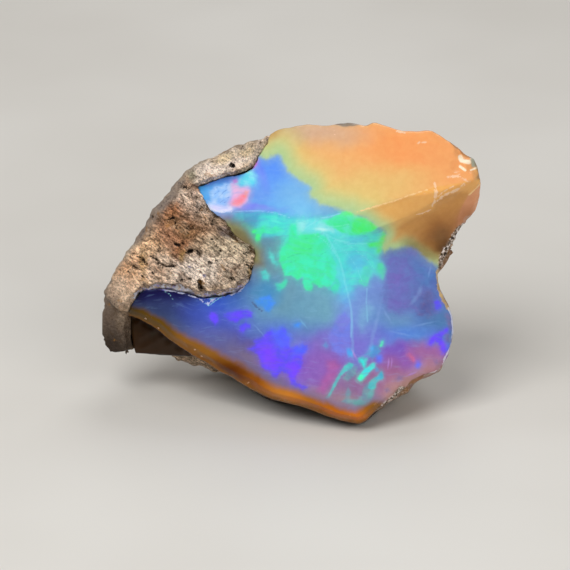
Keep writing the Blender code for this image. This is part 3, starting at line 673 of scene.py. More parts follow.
        "royal": ("5a74ff", "5480fc", 0.9, 0.2, 0.12, [
            [(6.75, 5.35), (7.1, 5.4), (7.25, 5.1), (7.1, 4.85), (6.75, 4.9)],
            [(9.85, 4.95), (10.1, 5.0), (10.22, 4.7), (10.1, 4.4), (9.9, 4.4), (9.78, 4.6)],
            [(12.3, 6.2), (12.45, 6.2), (12.4, 5.8), (12.25, 5.75)]]),
        "duskySpecks": ("7f70a4", "7c6c9c", 0.7, 0.16, 0.25, [
            [(12.1, 8.6), (12.4, 8.7), (12.66, 8.3), (12.72, 7.3), (12.45, 7.5), (12.32, 7.95)],
            [(8.2, 3.55), (8.4, 3.8), (8.8, 3.8), (8.75, 3.5), (8.4, 3.4)],
            [(7.4, 2.75), (7.6, 2.85), (7.75, 2.6), (7.5, 2.55)],
            [(11.2, 4.95), (11.5, 5.05), (11.75, 4.8), (11.4, 4.65)],
            [(12.15, 7.0), (12.45, 7.0), (12.5, 6.4), (12.2, 6.5)]]),
        "rosebud": ("d86c88", "c46c98", 0.85, 0.2, 0.12, [
            [(9.15, 5.4), (9.35, 5.52), (9.62, 5.3), (9.78, 4.95), (9.7, 4.85), (9.45, 5.05)]]),
        "milkyFins": ("7cb4d4", "84b8d8", 0.6, 0.35, 0.2, [
            [(5.3, 8.0), (5.5, 9.0), (6.2, 9.4), (6.6, 9.0), (6.1, 8.1), (5.6, 7.3)]]),
        "windowBlue": ("4aa6ec", "4a9ce4", 1.0, 0.16, 0.05, [[
            (-7.4, 18.6), (-6.3, 19.1), (-5.0, 19.3), (-4.4, 19.45), (-3.9, 19.8), (-3.3, 20.15),
            (-2.95, 19.6), (-2.75, 18.9), (-2.95, 18.3), (-3.2, 17.5), (-3.6, 17.0), (-4.3, 16.78),
            (-5.0, 16.55), (-5.9, 16.6), (-6.4, 16.9), (-6.9, 17.6), (-7.2, 18.2)]]),
        "windowTop": ("3c68c8", "4474cc", 1.0, 0.16, 0.08, [[
            (-6.9, 18.75), (-6.3, 19.15), (-5.0, 19.4), (-4.3, 19.5), (-3.9, 19.6), (-4.2, 19.1),
            (-5.0, 18.95), (-5.8, 18.85), (-6.5, 18.65)]]),
        "windowMilk": ("bcd8f8", "90c0f6", 0.95, 0.24, 0.30, [[
            (-6.25, 18.2), (-5.9, 18.65), (-5.2, 18.8), (-4.6, 18.8), (-4.4, 18.3), (-4.5, 17.8),
            (-4.75, 17.3), (-4.6, 16.85), (-5.3, 16.65), (-6.0, 16.75), (-6.4, 17.1), (-6.15, 17.5)]]),
        "windowPools": ("84b8f6", "70a8f0", 0.8, 0.14, 0.24, [
            [(-5.5, 18.4), (-5.0, 18.5), (-4.8, 18.1), (-5.2, 17.9)],
            [(-6.0, 18.3), (-5.6, 18.35), (-5.6, 17.8), (-5.95, 17.7)],
            [(-5.4, 17.7), (-5.0, 17.8), (-5.0, 17.35), (-5.4, 17.3)]]),
        "windowSill": ("e6e2fb", "d4d4f8", 1.0, 0.18, 0.12, [[
            (-6.5, 17.15), (-5.8, 17.15), (-5.2, 17.05), (-4.6, 16.95), (-4.5, 16.72), (-5.2, 16.6),
            (-5.9, 16.66), (-6.3, 16.9)]]),
        "petal": ("ecb8e0", "dcb0ec", 0.95, 0.18, 0.12, [
            [(-4.65, 18.9), (-4.2, 18.95), (-3.9, 18.55), (-3.3, 18.65), (-3.1, 18.35), (-3.2, 17.9),
             (-3.5, 17.3), (-3.9, 16.95), (-4.5, 17.05), (-4.8, 17.25), (-4.6, 17.7), (-4.55, 18.2)]]),
        "coral": ("f48a9e", "f29684", 1.0, 0.18, 0.10, [
            [(-3.25, 18.2), (-3.32, 17.85), (-3.55, 17.5), (-3.8, 17.2), (-4.1, 17.08), (-4.65, 17.22),
             (-4.4, 17.55), (-4.05, 17.7), (-3.8, 18.0), (-3.5, 18.25)]]),
        "windowCyan": ("68dcec", "90e8f0", 0.9, 0.24, 0.18, [
            [(-4.3, 18.85), (-3.8, 19.25), (-3.5, 19.6), (-3.35, 20.1), (-2.95, 19.95), (-2.65, 19.4),
             (-2.7, 18.8), (-3.1, 18.68), (-3.8, 18.68)]]),
        "orchid": ("d07cc8", "c486d8", 0.9, 0.10, 0.05, [
            [(-2.95, 19.95), (-3.05, 20.2), (-2.8, 20.6), (-2.52, 20.75), (-2.5, 20.5), (-2.72, 20.1)],
            [(-4.5, 19.1), (-4.2, 19.2), (-4.1, 18.95), (-4.4, 18.85)]]),
    },
    "notBrushed": ("oliveShade", "mossEdge", "mauveCorner"),     # patches with no streaks
    # the peach upper facet beyond its scalloped border, and its own soft fields
    "peach": {
        "tone": "e6b070",
        "softness": 0.22,
        "ragged": 0.22,
        "outline": [
            (-3.2, 21.3), (-2.6, 21.05), (-2.2, 20.85), (-1.8, 20.72), (-1.5, 20.9), (-1.2, 21.0),
            (-0.95, 21.15), (-0.75, 20.95), (-0.6, 20.55), (-0.35, 20.2), (-0.2, 19.8), (0.15, 19.5),
            (0.5, 19.3), (0.75, 19.05), (1.1, 18.85), (1.5, 18.65), (1.65, 18.4), (1.5, 18.0), (1.65, 17.7),
            (2.1, 17.5), (2.35, 17.15), (2.9, 17.1), (3.5, 16.9), (4.1, 16.72), (4.7, 16.6), (5.1, 16.3),
            (5.6, 16.2), (6.0, 16.05), (6.4, 15.75), (6.85, 15.4), (7.3, 15.2), (7.55, 14.8), (7.4, 14.3),
            (7.2, 13.8), (7.4, 13.45), (7.8, 13.75), (8.3, 13.72), (9.1, 13.92), (9.6, 13.82),
            (10.0, 13.58), (10.4, 13.18), (10.9, 12.78), (11.4, 12.5), (11.7, 12.2), (13.0, 12.0),
            (17.0, 15.0), (17.0, 26.0), (-4.0, 26.0)],
        "fields": [
            ("ef9e60", 1.0, 0.8, [(10.0, 21.6, 5.4, 2.2, -12)]),
            ("eaa266", 0.8, 0.8, [(12.4, 19.8, 2.4, 1.8, -40)]),
            ("cfa98c", 0.95, 0.8, [(1.6, 23.0, 3.6, 1.1, -4)]),
            ("c2ac86", 0.9, 0.8, [(-0.8, 22.4, 1.9, 1.0, 20)]),
            ("dfba74", 0.9, 0.8, [(6.4, 18.6, 3.4, 1.3, 6)]),
        ],
        "lowerFields": [
            ("bc9458", 0.85, 0.8, [(-2.2, 22.5, 1.9, 0.65, 36), (-2.9, 21.9, 0.9, 0.5, 60)]),
            # painted shade, deepening into the hollow under the crest
            ("a66e38", 0.9, 0.8, [(11.6, 15.2, 1.9, 1.0, 30)]),
            ("75502c", 0.9, 0.9, [(11.9, 14.4, 1.3, 0.8, 35)]),
            ("4e3420", 0.9, 0.9, [(12.2, 13.9, 0.7, 0.45, 40)]),
            ("8c8656", 0.9, 0.7, [(10.6, 13.5, 1.5, 0.5, -32)]),
        ],
    },
    "fadingFacets": ("secondFacet", "hollowShade"),     # towards the greenish border
    # facets and steps on the peach side: tone, strength, softness, raggedness, outline
    "facets": {
        "secondFacet": ("e8ac5e", 0.8, 0.08, 0.04, [
            (4.9, 16.5), (6.2, 16.8), (7.2, 17.12), (8.2, 17.42), (9.2, 17.78), (10.2, 18.12), (11.2, 18.5),
            (12.6, 18.7), (15.0, 19.2), (15.6, 16.0), (12.0, 12.0), (7.0, 14.0), (6.4, 15.8),
            (5.4, 16.25)]),
        # painted shade in the hollow under the shelf and the crest
        "hollowShade": ("c48a48", 0.75, 0.20, 0.08, [
            (8.2, 15.2), (9.2, 15.95), (10.0, 16.3), (10.7, 16.52), (11.2, 16.8), (11.45, 17.4),
            (12.0, 17.85), (13.0, 18.1), (13.9, 18.2), (14.4, 17.0), (13.4, 14.0), (11.4, 12.6),
            (9.6, 13.8), (8.0, 14.2)]),
        "mauveFacet": ("da986e", 0.95, 0.10, 0.06, [
            (15.2, 19.0), (14.5, 18.35), (13.95, 17.85), (13.7, 17.4), (13.4, 16.8), (13.2, 16.1),
            (13.3, 15.3), (14.2, 15.8), (15.0, 16.8), (15.4, 18.0)]),
        "mauveShade": ("a66c46", 0.8, 0.5, 0.10, [
            (13.6, 16.9), (14.3, 17.0), (14.6, 16.3), (13.6, 15.4), (12.9, 15.2), (13.0, 16.2)]),
        "greyChip": ("9aa090", 0.95, 0.07, 0.06, [
            (14.1, 20.95), (14.55, 20.9), (14.7, 20.5), (14.6, 20.1), (14.25, 20.1), (14.15, 20.5)]),
        "darkBits": ("6e7270", 0.8, 0.08, 0.10, [
            (3.55, 23.5), (4.1, 23.75), (5.2, 23.8), (5.6, 23.5), (5.0, 23.35), (4.2, 23.3)]),
    },
    # painted highlights on chips, the crest and the amber rim, bruises and other fine lines: tone,
    # strength, brokenness, and lines with a half width
    "glints": {
        # painted highlights on the chips at the right end
        "chipHighlights": ("fbe6c8", 1.0, 0.2, [
            ([(13.35, 20.9), (13.45, 20.6), (14.0, 20.5)], 0.22), ([(13.3, 20.15), (13.7, 19.85)], 0.13),
            ([(14.15, 19.85), (14.85, 20.15)], 0.09)]),
        "bruises": ("f2d2b2", 0.65, 1.2, [
            ([(11.1, 17.0), (11.35, 17.5), (11.4, 18.1), (11.3, 18.8)], 0.10),
            ([(11.5, 17.45), (12.1, 17.95), (13.0, 18.25), (13.6, 18.8)], 0.10),
            ([(11.2, 17.5), (11.9, 18.1), (12.8, 18.6)], 0.05),
            ([(9.6, 16.3), (10.4, 16.5), (11.1, 16.8)], 0.05),
            ([(12.4, 19.3), (13.2, 19.4), (13.9, 18.95)], 0.09), ([(12.8, 19.7), (13.5, 19.5)], 0.05),
            ([(10.0, 21.9), (10.15, 22.05), (10.6, 22.05)], 0.08), ([(8.4, 22.95), (9.0, 22.8)], 0.10),
            ([(3.5, 23.0), (3.5, 22.7)], 0.07)]),
        # painted highlight along the crest
        "crestHighlight": ("f2cd94", 0.8, 0.6, [
            ([(5.2, 16.55), (6.2, 16.85), (7.2, 17.15), (8.2, 17.45), (9.2, 17.82), (10.7, 18.3)], 0.07),
              ([(14.0, 17.9), (14.9, 18.75)], 0.06)]),
        "honeyRim": ("ccaa68", 0.9, 0.8, [
            ([(11.62, 11.9), (11.66, 11.2), (11.7, 10.7), (11.84, 10.2), (12.08, 9.65),
                (12.44, 9.05)], 0.17)]),
        "paleLines": ("eae8f6", 0.6, 0.6, [
            ([(12.44, 9.05), (12.66, 8.5), (12.73, 8.0), (12.77, 7.4), (12.78, 6.9), (12.7, 6.3),
                (12.46, 5.7), (12.1, 5.1), (11.97, 4.45), (11.65, 4.15), (11.1, 4.0), (10.5, 3.75)], 0.08),
              ([(-6.7, 17.25), (-6.3, 16.9), (-5.8, 16.68), (-5.3, 16.6)], 0.09),
              ([(-5.3, 16.6), (-4.5, 16.62)], 0.04)]),
        "crestThread": ("9cd4f4", 0.4, 0.3, [
            ([(-4.4, 16.62), (-2.6, 16.68), (-1.5, 16.57), (-0.8, 16.4), (0.0, 16.12)], 0.06),
            ([(2.4, 16.08), (3.2, 16.22), (3.9, 16.45)], 0.07)]),
        "threads": ("9ce8f4", 0.2, 0.12, [
            ([(0.1, 16.95), (0.6, 16.6), (1.1, 16.15)], 0.05),
            ([(-0.4, 16.9), (0.2, 16.5), (0.7, 16.2)], 0.04),
            ([(2.6, 14.95), (3.2, 14.6), (3.9, 14.3), (4.6, 14.2)], 0.09),
            ([(1.8, 14.9), (2.6, 14.4), (3.2, 13.7), (3.8, 12.9)], 0.07),
            ([(2.4, 15.6), (3.4, 15.4), (4.6, 15.6)], 0.07),
            ([(2.9, 14.6), (3.5, 13.6), (3.9, 12.7), (4.15, 11.8), (4.3, 11.0), (4.55, 10.0), (4.75, 9.0),
              (4.82, 8.0), (4.75, 6.8)], 0.10),
            ([(3.4, 14.3), (4.4, 13.4), (5.2, 12.3), (5.6, 11.2)], 0.06),
            ([(3.8, 14.4), (5.0, 13.7), (6.0, 12.9), (6.6, 12.1)], 0.06),
            ([(4.3, 14.2), (5.2, 14.05), (6.0, 14.1)], 0.07),
            ([(0.9, 15.0), (1.4, 15.5), (2.2, 15.9)], 0.07),
            ([(6.0, 10.6), (5.95, 9.4), (6.05, 8.0)], 0.08)]),
        "darkStrokes": ("3cb88c", 0.3, 0.2, [
            ([(-0.2, 13.0), (0.4, 13.25), (0.9, 13.35)], 0.06), ([(0.0, 12.6), (0.6, 12.85)], 0.05),
            ([(1.2, 13.6), (1.7, 13.75)], 0.06), ([(2.3, 13.2), (2.9, 13.5)], 0.05),
            ([(0.9, 14.4), (1.6, 14.6)], 0.05)]),
        # painted highlights sparkling on the amber rim
        "amberRimHighlights": ("e8c09c", 0.9, 0.1, [
            ([(-7.5, 5.8), (-7.4, 5.78)], 0.07), ([(-7.0, 5.3), (-6.9, 5.26)], 0.06),
            ([(-6.7, 4.85), (-6.62, 4.82)], 0.06), ([(-3.55, 3.05), (-3.45, 3.1)], 0.09),
            ([(-3.3, 3.2), (-3.22, 3.24)], 0.07), ([(-1.3, 1.78), (-1.22, 1.75)], 0.09),
            ([(-0.45, 1.82), (-0.35, 1.8)], 0.09), ([(-0.15, 1.75), (-0.1, 1.72)], 0.08),
            ([(-10.4, 7.5), (-10.3, 7.45)], 0.06), ([(-11.4, 8.25), (-11.3, 8.2)], 0.06)]),
        "seamViolet": ("7068c4", 0.8, 1.0, [
            ([(-11.6, 10.5), (-11.1, 10.6), (-10.5, 10.6), (-9.9, 10.5)], 0.12)]),
        "seamCrystals": ("ccd2ee", 0.75, 1.6, [
            ([(-9.9, 10.5), (-9.2, 10.38), (-8.4, 10.22), (-7.8, 10.04), (-7.2, 9.84), (-6.8, 9.55),
                (-6.45, 9.35)], 0.06),
              ([(-6.45, 9.35), (-6.0, 9.75), (-5.6, 10.05), (-5.0, 10.15), (-4.4, 10.2), (-3.95, 10.4),
                (-3.6, 10.8)], 0.08)]),
        "seamNeedles": ("98d8dc", 0.75, 0.2, [
            ([(-9.95, 10.42), (-9.45, 10.15), (-9.2, 9.72)], 0.05),
            ([(-6.75, 9.5), (-6.4, 9.22), (-5.9, 9.6), (-5.3, 10.0)], 0.05),
            ([(-6.3, 9.75), (-5.8, 9.95)], 0.05), ([(-4.7, 10.2), (-4.2, 10.55)], 0.05)]),
        "hairStreaks": ("5c88d8", 0.6, 0.5, [
            ([(-5.9, 18.4), (-5.65, 18.6)], 0.05), ([(-5.95, 18.0), (-5.45, 18.35)], 0.05),
            ([(-5.6, 17.75), (-5.2, 18.2), (-4.9, 18.4)], 0.05), ([(-5.5, 17.3), (-5.1, 17.7)], 0.06),
            ([(-5.15, 17.3), (-4.8, 17.75)], 0.05), ([(-5.3, 18.65), (-4.9, 18.7)], 0.04)]),
        "darkThread": ("50668c", 0.8, 0.4, [
            ([(-2.95, 9.5), (-2.6, 9.15), (-2.2, 8.85)], 0.09)]),
    },
    # where a skin of the host rock is left on the edge
    "crustSkin": [
        [(13.65, 15.8), (13.05, 15.3), (12.75, 14.8), (12.45, 14.25), (12.1, 13.75), (11.85, 13.4),
         (11.7, 12.9), (11.65, 12.4), (11.6, 11.85), (12.4, 11.6), (14.6, 15.6)],
        [(6.6, 1.15), (7.25, 1.65), (7.9, 2.2), (8.25, 2.6), (8.6, 3.0), (9.1, 2.9), (9.5, 3.3),
         (10.4, 2.8), (8.0, 0.4), (6.8, 0.2)]],
    # pale wisps just under the surface
    "wisps": [
        ("c4f2f0", 0.6, 0.9, [(2.5, 15.18, 0.5, 0.10, -6)]),
        ("8cdcf4", 0.2, 0.9, [(4.85, 7.2, 1.6, 0.10, -88), (1.05, 7.85, 0.4, 0.06, -50)]),
        ("86a8dc", 0.35, 0.9, [(6.6, 7.4, 2.0, 0.14, 76), (7.6, 8.5, 0.5, 0.07, -62),
                              (8.7, 7.05, 0.7, 0.06, -12), (10.5, 7.8, 0.7, 0.07, 15),
                              (9.75, 9.75, 0.5, 0.14, 48), (10.15, 10.35, 0.4, 0.15, 70),
                              (10.95, 11.9, 0.4, 0.07, 75), (-2.4, 7.3, 0.5, 0.05, -48)]),
        ("b48ad8", 0.6, 0.8, [(7.65, 4.75, 0.35, 0.06, 84), (7.9, 4.8, 0.3, 0.05, 86),
                              (5.0, 5.5, 0.4, 0.07, -65), (9.5, 3.95, 0.35, 0.06, 24)]),
    ],
    # the thin edge along the lower left, honey coloured with a painted glow of light through it, from its
    # dark end in painted shade to the glowing tip
    "amber": {
        "waver": 0.5,
        "tone": "8a5a20",
        "haze": "6c6288",
        "hazeFields": [("363b4a", 1.0, 0.8, [(-11.0, 9.0, 3.2, 1.6, -30)])],
        "fields": [
            # the darkest fields at the left end are painted shade; the orange ones towards the tip are
            # painted glow
            ("38220a", 1.0, 0.7, [(-11.8, 5.8, 3.4, 1.9, -25)]),
            ("45320a", 1.0, 0.7, [(-12.8, 9.0, 2.2, 1.4, -25)]),
            ("5e4206", 0.9, 0.8, [(-10.2, 7.6, 1.8, 1.2, -30)]),
            ("8a5a1c", 1.0, 0.7, [(-7.6, 5.9, 1.8, 0.9, -35)]),
            ("703e02", 1.0, 0.7, [(-4.8, 4.1, 1.3, 0.7, -30)]),
            ("4c1c00", 0.9, 0.8, [(-4.5, 3.7, 1.1, 0.5, -30)]),
            ("8a4600", 1.0, 0.8, [(-2.3, 2.6, 1.7, 0.8, -30)]),
            ("c47a2a", 1.0, 0.8, [(-0.2, 2.0, 1.7, 0.8, -20)]),
            ("be640c", 1.0, 0.8, [(2.6, 0.9, 2.4, 0.8, -14)]),
            ("c66e1c", 1.0, 0.8, [(5.2, 0.2, 1.4, 0.8, 0)]),
        ],
    },
    # the noises in the finish: size in millimetres, detail, roughness
    "noises": {
        "unevenness": (0.38, 5.0, 0.72), "clouding": (1.1, 3.0, 0.55), "brushing": (0.55, 4.0, 0.6),
        "grain": (0.5, 4.0, 0.6), "speck": (0.22, 4.0, 0.7), "honeyLight": (4.0, 3.0, 0.5),
        "honeyBlue": (2.6, 3.0, 0.5), "sideGlint": (1.3, 2.0, 0.5), "honeyBlend": (1.8, 3.0, 0.5),
        "scratches": (0.5, 2.0, 0.5), "ripple": (1.1, 2.0, 0.4), "fine": (0.16, 2.0, 0.5),
    },
    # what a value is spread over: from, to, and the shares there (0 and 1 if none are given)
    "ranges": {
        "second": (0.4, 0.6), "facetFade": (0.1, 1.5), "grain": (0.25, 0.75, 0.3, 0.7),
        "haze": (1.75, 1.0, 0, 0.5), "amber": (1.25, 0.7), "under": (0.45, 0.1, 0, 0.92),
        "sideGlint": (0.60, 0.68, 0, 0.2), "honeyBlend": (0.35, 0.65, 0.45, 0.9),
        "side": (0.25, 0.75), "wearAndSheen": (-0.020, -0.045), "wornBroken": (0.06, 0.14),
        "wornOffAmber": (0.2, 1.2), "scratches": (0.45, 0.75, 0.14, 0.26),
        "sideRough": (0.4, 1.2, 0, 0.25),
    },
    # tone, the values where it sets in and is full, and its strength there
    "tints": {
        "brushed": ("8cb4e0", 0.54, 0.70, 0.14), "yellowing": ("d6c67c", 3.0, 0.7, 0.85),
        "greening": ("a8ca94", 1.8, 0.1, 0.85), "crustGrey": ("8a7868", 0.42, 0.50, 1.0),
        "crustPale": ("d8d0cc", 0.52, 0.62, 1.0), "honeyLight": ("94683a", 0.38, 0.62, 1.0),
        "honeyBlue": ("56688a", 0.55, 0.75, 0.7), "underShade": ("2a190a", 0.5, 2.4, 1.0),
    },
    "drift": [(3.0, 0.7), (0.9, 0.22)],           # size and push of what bends the fields' edges
    "fraying": [(1.3, 0.10), (0.4, 0.05)],        # the same for the wisps
    "brush": (math.radians(20), (0.35, 2.2, 1.0)),   # turn and stretch of the brushed streaks
    "brushDim": (0.34, 0.56, 0.72),               # where they dim a patch, and to what share
    "grainShare": 0.22,
    "patchSwing": 2,                              # how far raggedness swings the patches' edges
    "glow": (0.3, 3.5, 2),                        # its share, and its reach out and in, in softnesses
    "glintSwing": 6,
    "glintEdge": (1.1, 0.5),                      # a glint's edge, over its half width
    "crustGround": "2c2420",
    "crustSkinEdge": (0.06, 0.14),                # its softness and raggedness
    "side": "5e3c1c",                             # the worn side surfaces
    "cellWarps": [(1.2, 0.5), (0.4, 0.2)],
    "cellScale": 0.7,                             # cells to the millimetre in the sides' glints
    "cellHue": {"Saturation": 0.9, "Value": 0.9, "Color": tone("3cb090")},
    # painted shade: the underside below the amber edge, darker still further under the face
    "under": "86520e",                            # the underside close below the amber edge
    "depthRagged": 0.4,
    # pale on convex edges: partly frosted wear, partly a painted edge highlight
    "wearAndSheenTone": "dcb890",
    "wearAndSheenShare": 0.45,
    "wornRough": 0.25,
    "scratch": (0.7, (0.5, 6.0, 1.0)),            # turn and stretch of the fine scratches
    "fineShare": 0.06,
    "bump": (0.35, 0.03 * mm),                    # strength and depth
    "gloss": {
        "IOR": 1.45, "Subsurface Weight": 0.2, "Subsurface Radius": (1.0, 0.7, 0.5),
        "Subsurface Scale": 0.35 * mm, "Specular IOR Level": 0.24, "Coat Weight": 0.08,
        "Coat Roughness": 0.05,
    },
}


def softMin(a, b, softness):
    near = np.maximum(softness - np.abs(a - b), 0) / softness
    return np.minimum(a, b) - near * near * softness / 4


def opalFace(u, v):
    # height of the broken face over its plane
    shape = opalPiece
    (leftU, leftV), (rightU, rightV) = shape["leftFacet"], shape["rightFacet"]
    keel = shape["keelSoftness"]
    fromTip = u - shape["outline"][0][0]
    left = leftU * fromTip + leftV * v
    right = rightU * fromTip + rightV * v
    crestU, crestV, crestLift = (np.array(c) for c in zip(*shape["crest"]))
    atV = np.interp(u, crestU, crestV)
    lift = np.interp(u, crestU, crestLift)
    slope = np.interp(u, *zip(*shape["upperSlope"]))
    lower = softMin(left, right, keel)
    atCrest = softMin(left + leftV * (atV - v), right + rightV * (atV - v), keel)
    upper = atCrest + lift - slope * (v - atV)
    runOut = np.maximum(1 + (v - atV) / shape["crestFall"], 0)
    height = softMin(upper, lower + lift * runOut ** shape["crestRunOut"],
                     shape["crestSoftness"])
    for hollowU, hollowV, radius, depth in shape["hollows"]:
        height -= depth * np.exp(-((u - hollowU) ** 2 + (v - hollowV) ** 2) / radius ** 2)
    start, full, fading, end = shape["shelfEnds"]
    above, below, bend = shape["shelfFalls"]
    under = np.interp(u, *zip(*shape["shelf"])) - v
    along = smoothStep(start, full, u) * smoothStep(end, fading, u)
    height += shape["shelfHeight"] * along * np.where(
        under < 0, np.clip(1 + under / above, 0, 1), np.clip(1 - under / below, 0, 1) ** bend)
    lowFade, highFade = shape["stepFades"]
    for line, width, rise in shape["steps"]:
        lineU = np.interp(v, [p[1] for p in reversed(line)], [p[0] for p in reversed(line)])
        fromV, toV = line[-1][1], line[0][1]
        here = (smoothStep(fromV - lowFade, fromV + lowFade, v)
                * smoothStep(toV + highFade, toV - highFade, v))
        height += rise * here * np.exp(-np.abs(u - lineU) / width)
    return height


def opalChips(mesh, points):
    # u, v, w, radius and depth of the chips on the rim: small ones by chance, and the placed ones
    shape = opalPiece
    outline = shape["outline"]
    chance = random.Random(5)
    places = []
    for (u0, v0), (u1, v1) in zip(outline, outline[1:] + outline[:1]):
        for _ in range(round(shape["rimChipsPerMm"] * math.hypot(u1 - u0, v1 - v0))):
            share, radius = chance.random(), chance.uniform(*shape["rimChipRadius"])
            places.append((u0 + (u1 - u0) * share, v0 + (v1 - v0) * share, radius,
                           radius * shape["rimChipDepth"]))
    tree = surfaceTree(points, mesh)
    chips = []
    for chipU, chipV, radius, depth in places + shape["bigChips"]:
        hit = frontAt(tree, chipU * shape["chipInset"], chipV)
        if hit is not None and hit.z > shape["chipLowest"]:
            chips.append((chipU, chipV, hit.z, radius, depth))
    return chips


def writeOutlines(mesh, u, v):
    # each patch and line of the play of colour as a distance that the material reads
    look = opalPiece
    outlines = {name: patch[-1] for name, patch in look["patches"].items()}
    outlines |= {name: [facet[-1]] for name, facet in look["facets"].items()}
    outlines |= {"peach": [look["peach"]["outline"]], "crustSkin": look["crustSkin"]}
    for name, drawn in outlines.items():
        writeShare(mesh, name, inwards(u, v, drawn))
    for name, glint in look["glints"].items():
        away = np.full(len(u), look["glintReach"])
        for line, width in glint[-1]:
            away = np.minimum(away, lineDistance(u, v, line) / width)
        writeShare(mesh, name, away)


def makeOpal():
    shape = opalPiece
    mesh = fineMesh("opal", shape["voxel"], shape["easing"])
    points, normals = movedBorder(readPoints(mesh)), readPoints(mesh, "normal")
    u, v, w = points.T
    outline = shape["outline"]
    edge = lineDistance(u, v, outline + outline[:1])
    edge = np.where(insideOutline(u, v, outline), edge, 0)
    formula = opalFace(u, v)
    inset, upright, offFace = shape["faceBlend"]
    onFace = (smoothStep(*inset, edge) * smoothStep(*upright, normals[:, 2])
              * smoothStep(*offFace, np.abs(formula - w)))
    points[:, 2] += onFace * (formula + layered(points * (1, 1, 0), shape["swell"], 3) - w)
    side = (1 - onFace) * groundFade(points)
    points += normals * (side * (layered(points, shape["sideLayers"], 11)
                                 - shape["sideSink"]))[:, None]
    points -= normals * (bites(points, opalChips(mesh, points)) * groundFade(points))[:, None]
    writePoints(mesh, points)
    writeShare(mesh, "depth", np.clip(formula - w, 0, shape["deepest"]))   # behind the face
    widthU, widthMm = zip(*shape["amberWidth"])
    edgeU, edgeV = zip(*shape["amberEdge"])
    fromEdge = np.where(v < np.interp(u, edgeU, edgeV), 0, lineDistance(u, v, shape["amberEdge"]))
    writeShare(mesh, "amber", np.minimum(fromEdge / np.interp(u, widthU, widthMm),
                                         shape["deepest"]))
    writeShare(mesh, "hollow", hollowness(mesh, shape["hollowRounds"]))
    writeOutlines(mesh, u, v)
    return intoRoom(mesh, "opal_body", "opal")


def raggedValue(tree, name, unevenness, ragged):
    # a distance kept in the mesh, made ragged by noise
    return calc(tree, "MULTIPLY_ADD", unevenness, ragged, meshValue(tree, name))


def patchMask(tree, name, softness, ragged, unevenness):
    # a crisp edge with a soft glow around it
    share, outside, inside = opalPiece["glow"]
    inward = raggedValue(tree, name, unevenness, ragged * opalPiece["patchSwing"])
    crisp = ranged(tree, inward, -softness, softness, 0, 1 - share)
    glow = ranged(tree, inward, -outside * softness, inside * softness, 0, share)
    return calc(tree, "ADD", crisp, glow)


def flashes(tree, colour, drift, clouding, unevenness):
    # the soft fields, and over them the drawn patches, dimmer in brushed streaks
    look = opalPiece
    brushed = stretched(tree, drift, *look["brush"])
    brushing = cloud(tree, brushed, look["noises"]["brushing"])
    colour = painted(tree, colour, drift, look["fields"])
    colour = tinted(tree, colour, brushing, look["tints"]["brushed"])
    dimLow, dimHigh, dim = look["brushDim"]
    for name, (first, second, strength, softness, ragged, _) in look["patches"].items():
        dimmer = strength
        if name not in look["notBrushed"]:
            dimmer = ranged(tree, brushing, dimLow, dimHigh, dim * strength, strength)
        mask = calc(tree, "MULTIPLY", patchMask(tree, name, softness, ragged, unevenness), dimmer)
        inside = mixed(tree, ranged(tree, clouding, *look["ranges"]["second"]),
                       tone(first), tone(second))
        colour = mixed(tree, mask, colour, inside)
    return colour


def peachFacet(tree, drift, unevenness):
    # the peach upper facet, greenish and then yellow near its border, with its own facets
    look, tints = opalPiece, opalPiece["tints"]
    peach = painted(tree, tone(look["peach"]["tone"]), drift, look["peach"]["fields"])
    inward = meshValue(tree, "peach")
    peach = tinted(tree, peach, inward, tints["yellowing"])
    peach = tinted(tree, peach, inward, tints["greening"])
    for name, (code, strength, softness, ragged, _) in look["facets"].items():
        mask = patchMask(tree, name, softness, ragged, unevenness)
        if name in look["fadingFacets"]:
            mask = calc(tree, "MULTIPLY", mask, ranged(tree, inward, *look["ranges"]["facetFade"]))
        peach = mixed(tree, calc(tree, "MULTIPLY", mask, strength), peach, tone(code))
        # the hollow's painted shade, deepened by the lower fields
        if name == "hollowShade":
            peach = painted(tree, peach, drift, look["peach"]["lowerFields"])
    return peach


def wornSide(tree, place):
    # dark honey with a few dim glints inside
    noises, ranges, tints = (opalPiece[key] for key in ("noises", "ranges", "tints"))
    honey = tone(opalPiece["side"])
    for name in ("honeyLight", "honeyBlue"):
        honey = tinted(tree, honey, cloud(tree, place, noises[name]), tints[name])
    cells = add(tree, "TexVoronoi", {"Vector": warped(tree, place, opalPiece["cellWarps"]),
                                     "Scale": opalPiece["cellScale"]})
    hue = add(tree, "HueSaturation", {"Hue": cells.outputs["Color"],
                                      **opalPiece["cellHue"]}).outputs[0]
    glint = ranged(tree, cloud(tree, place, noises["sideGlint"]), *ranges["sideGlint"])
    return mixed(tree, glint, honey, hue)


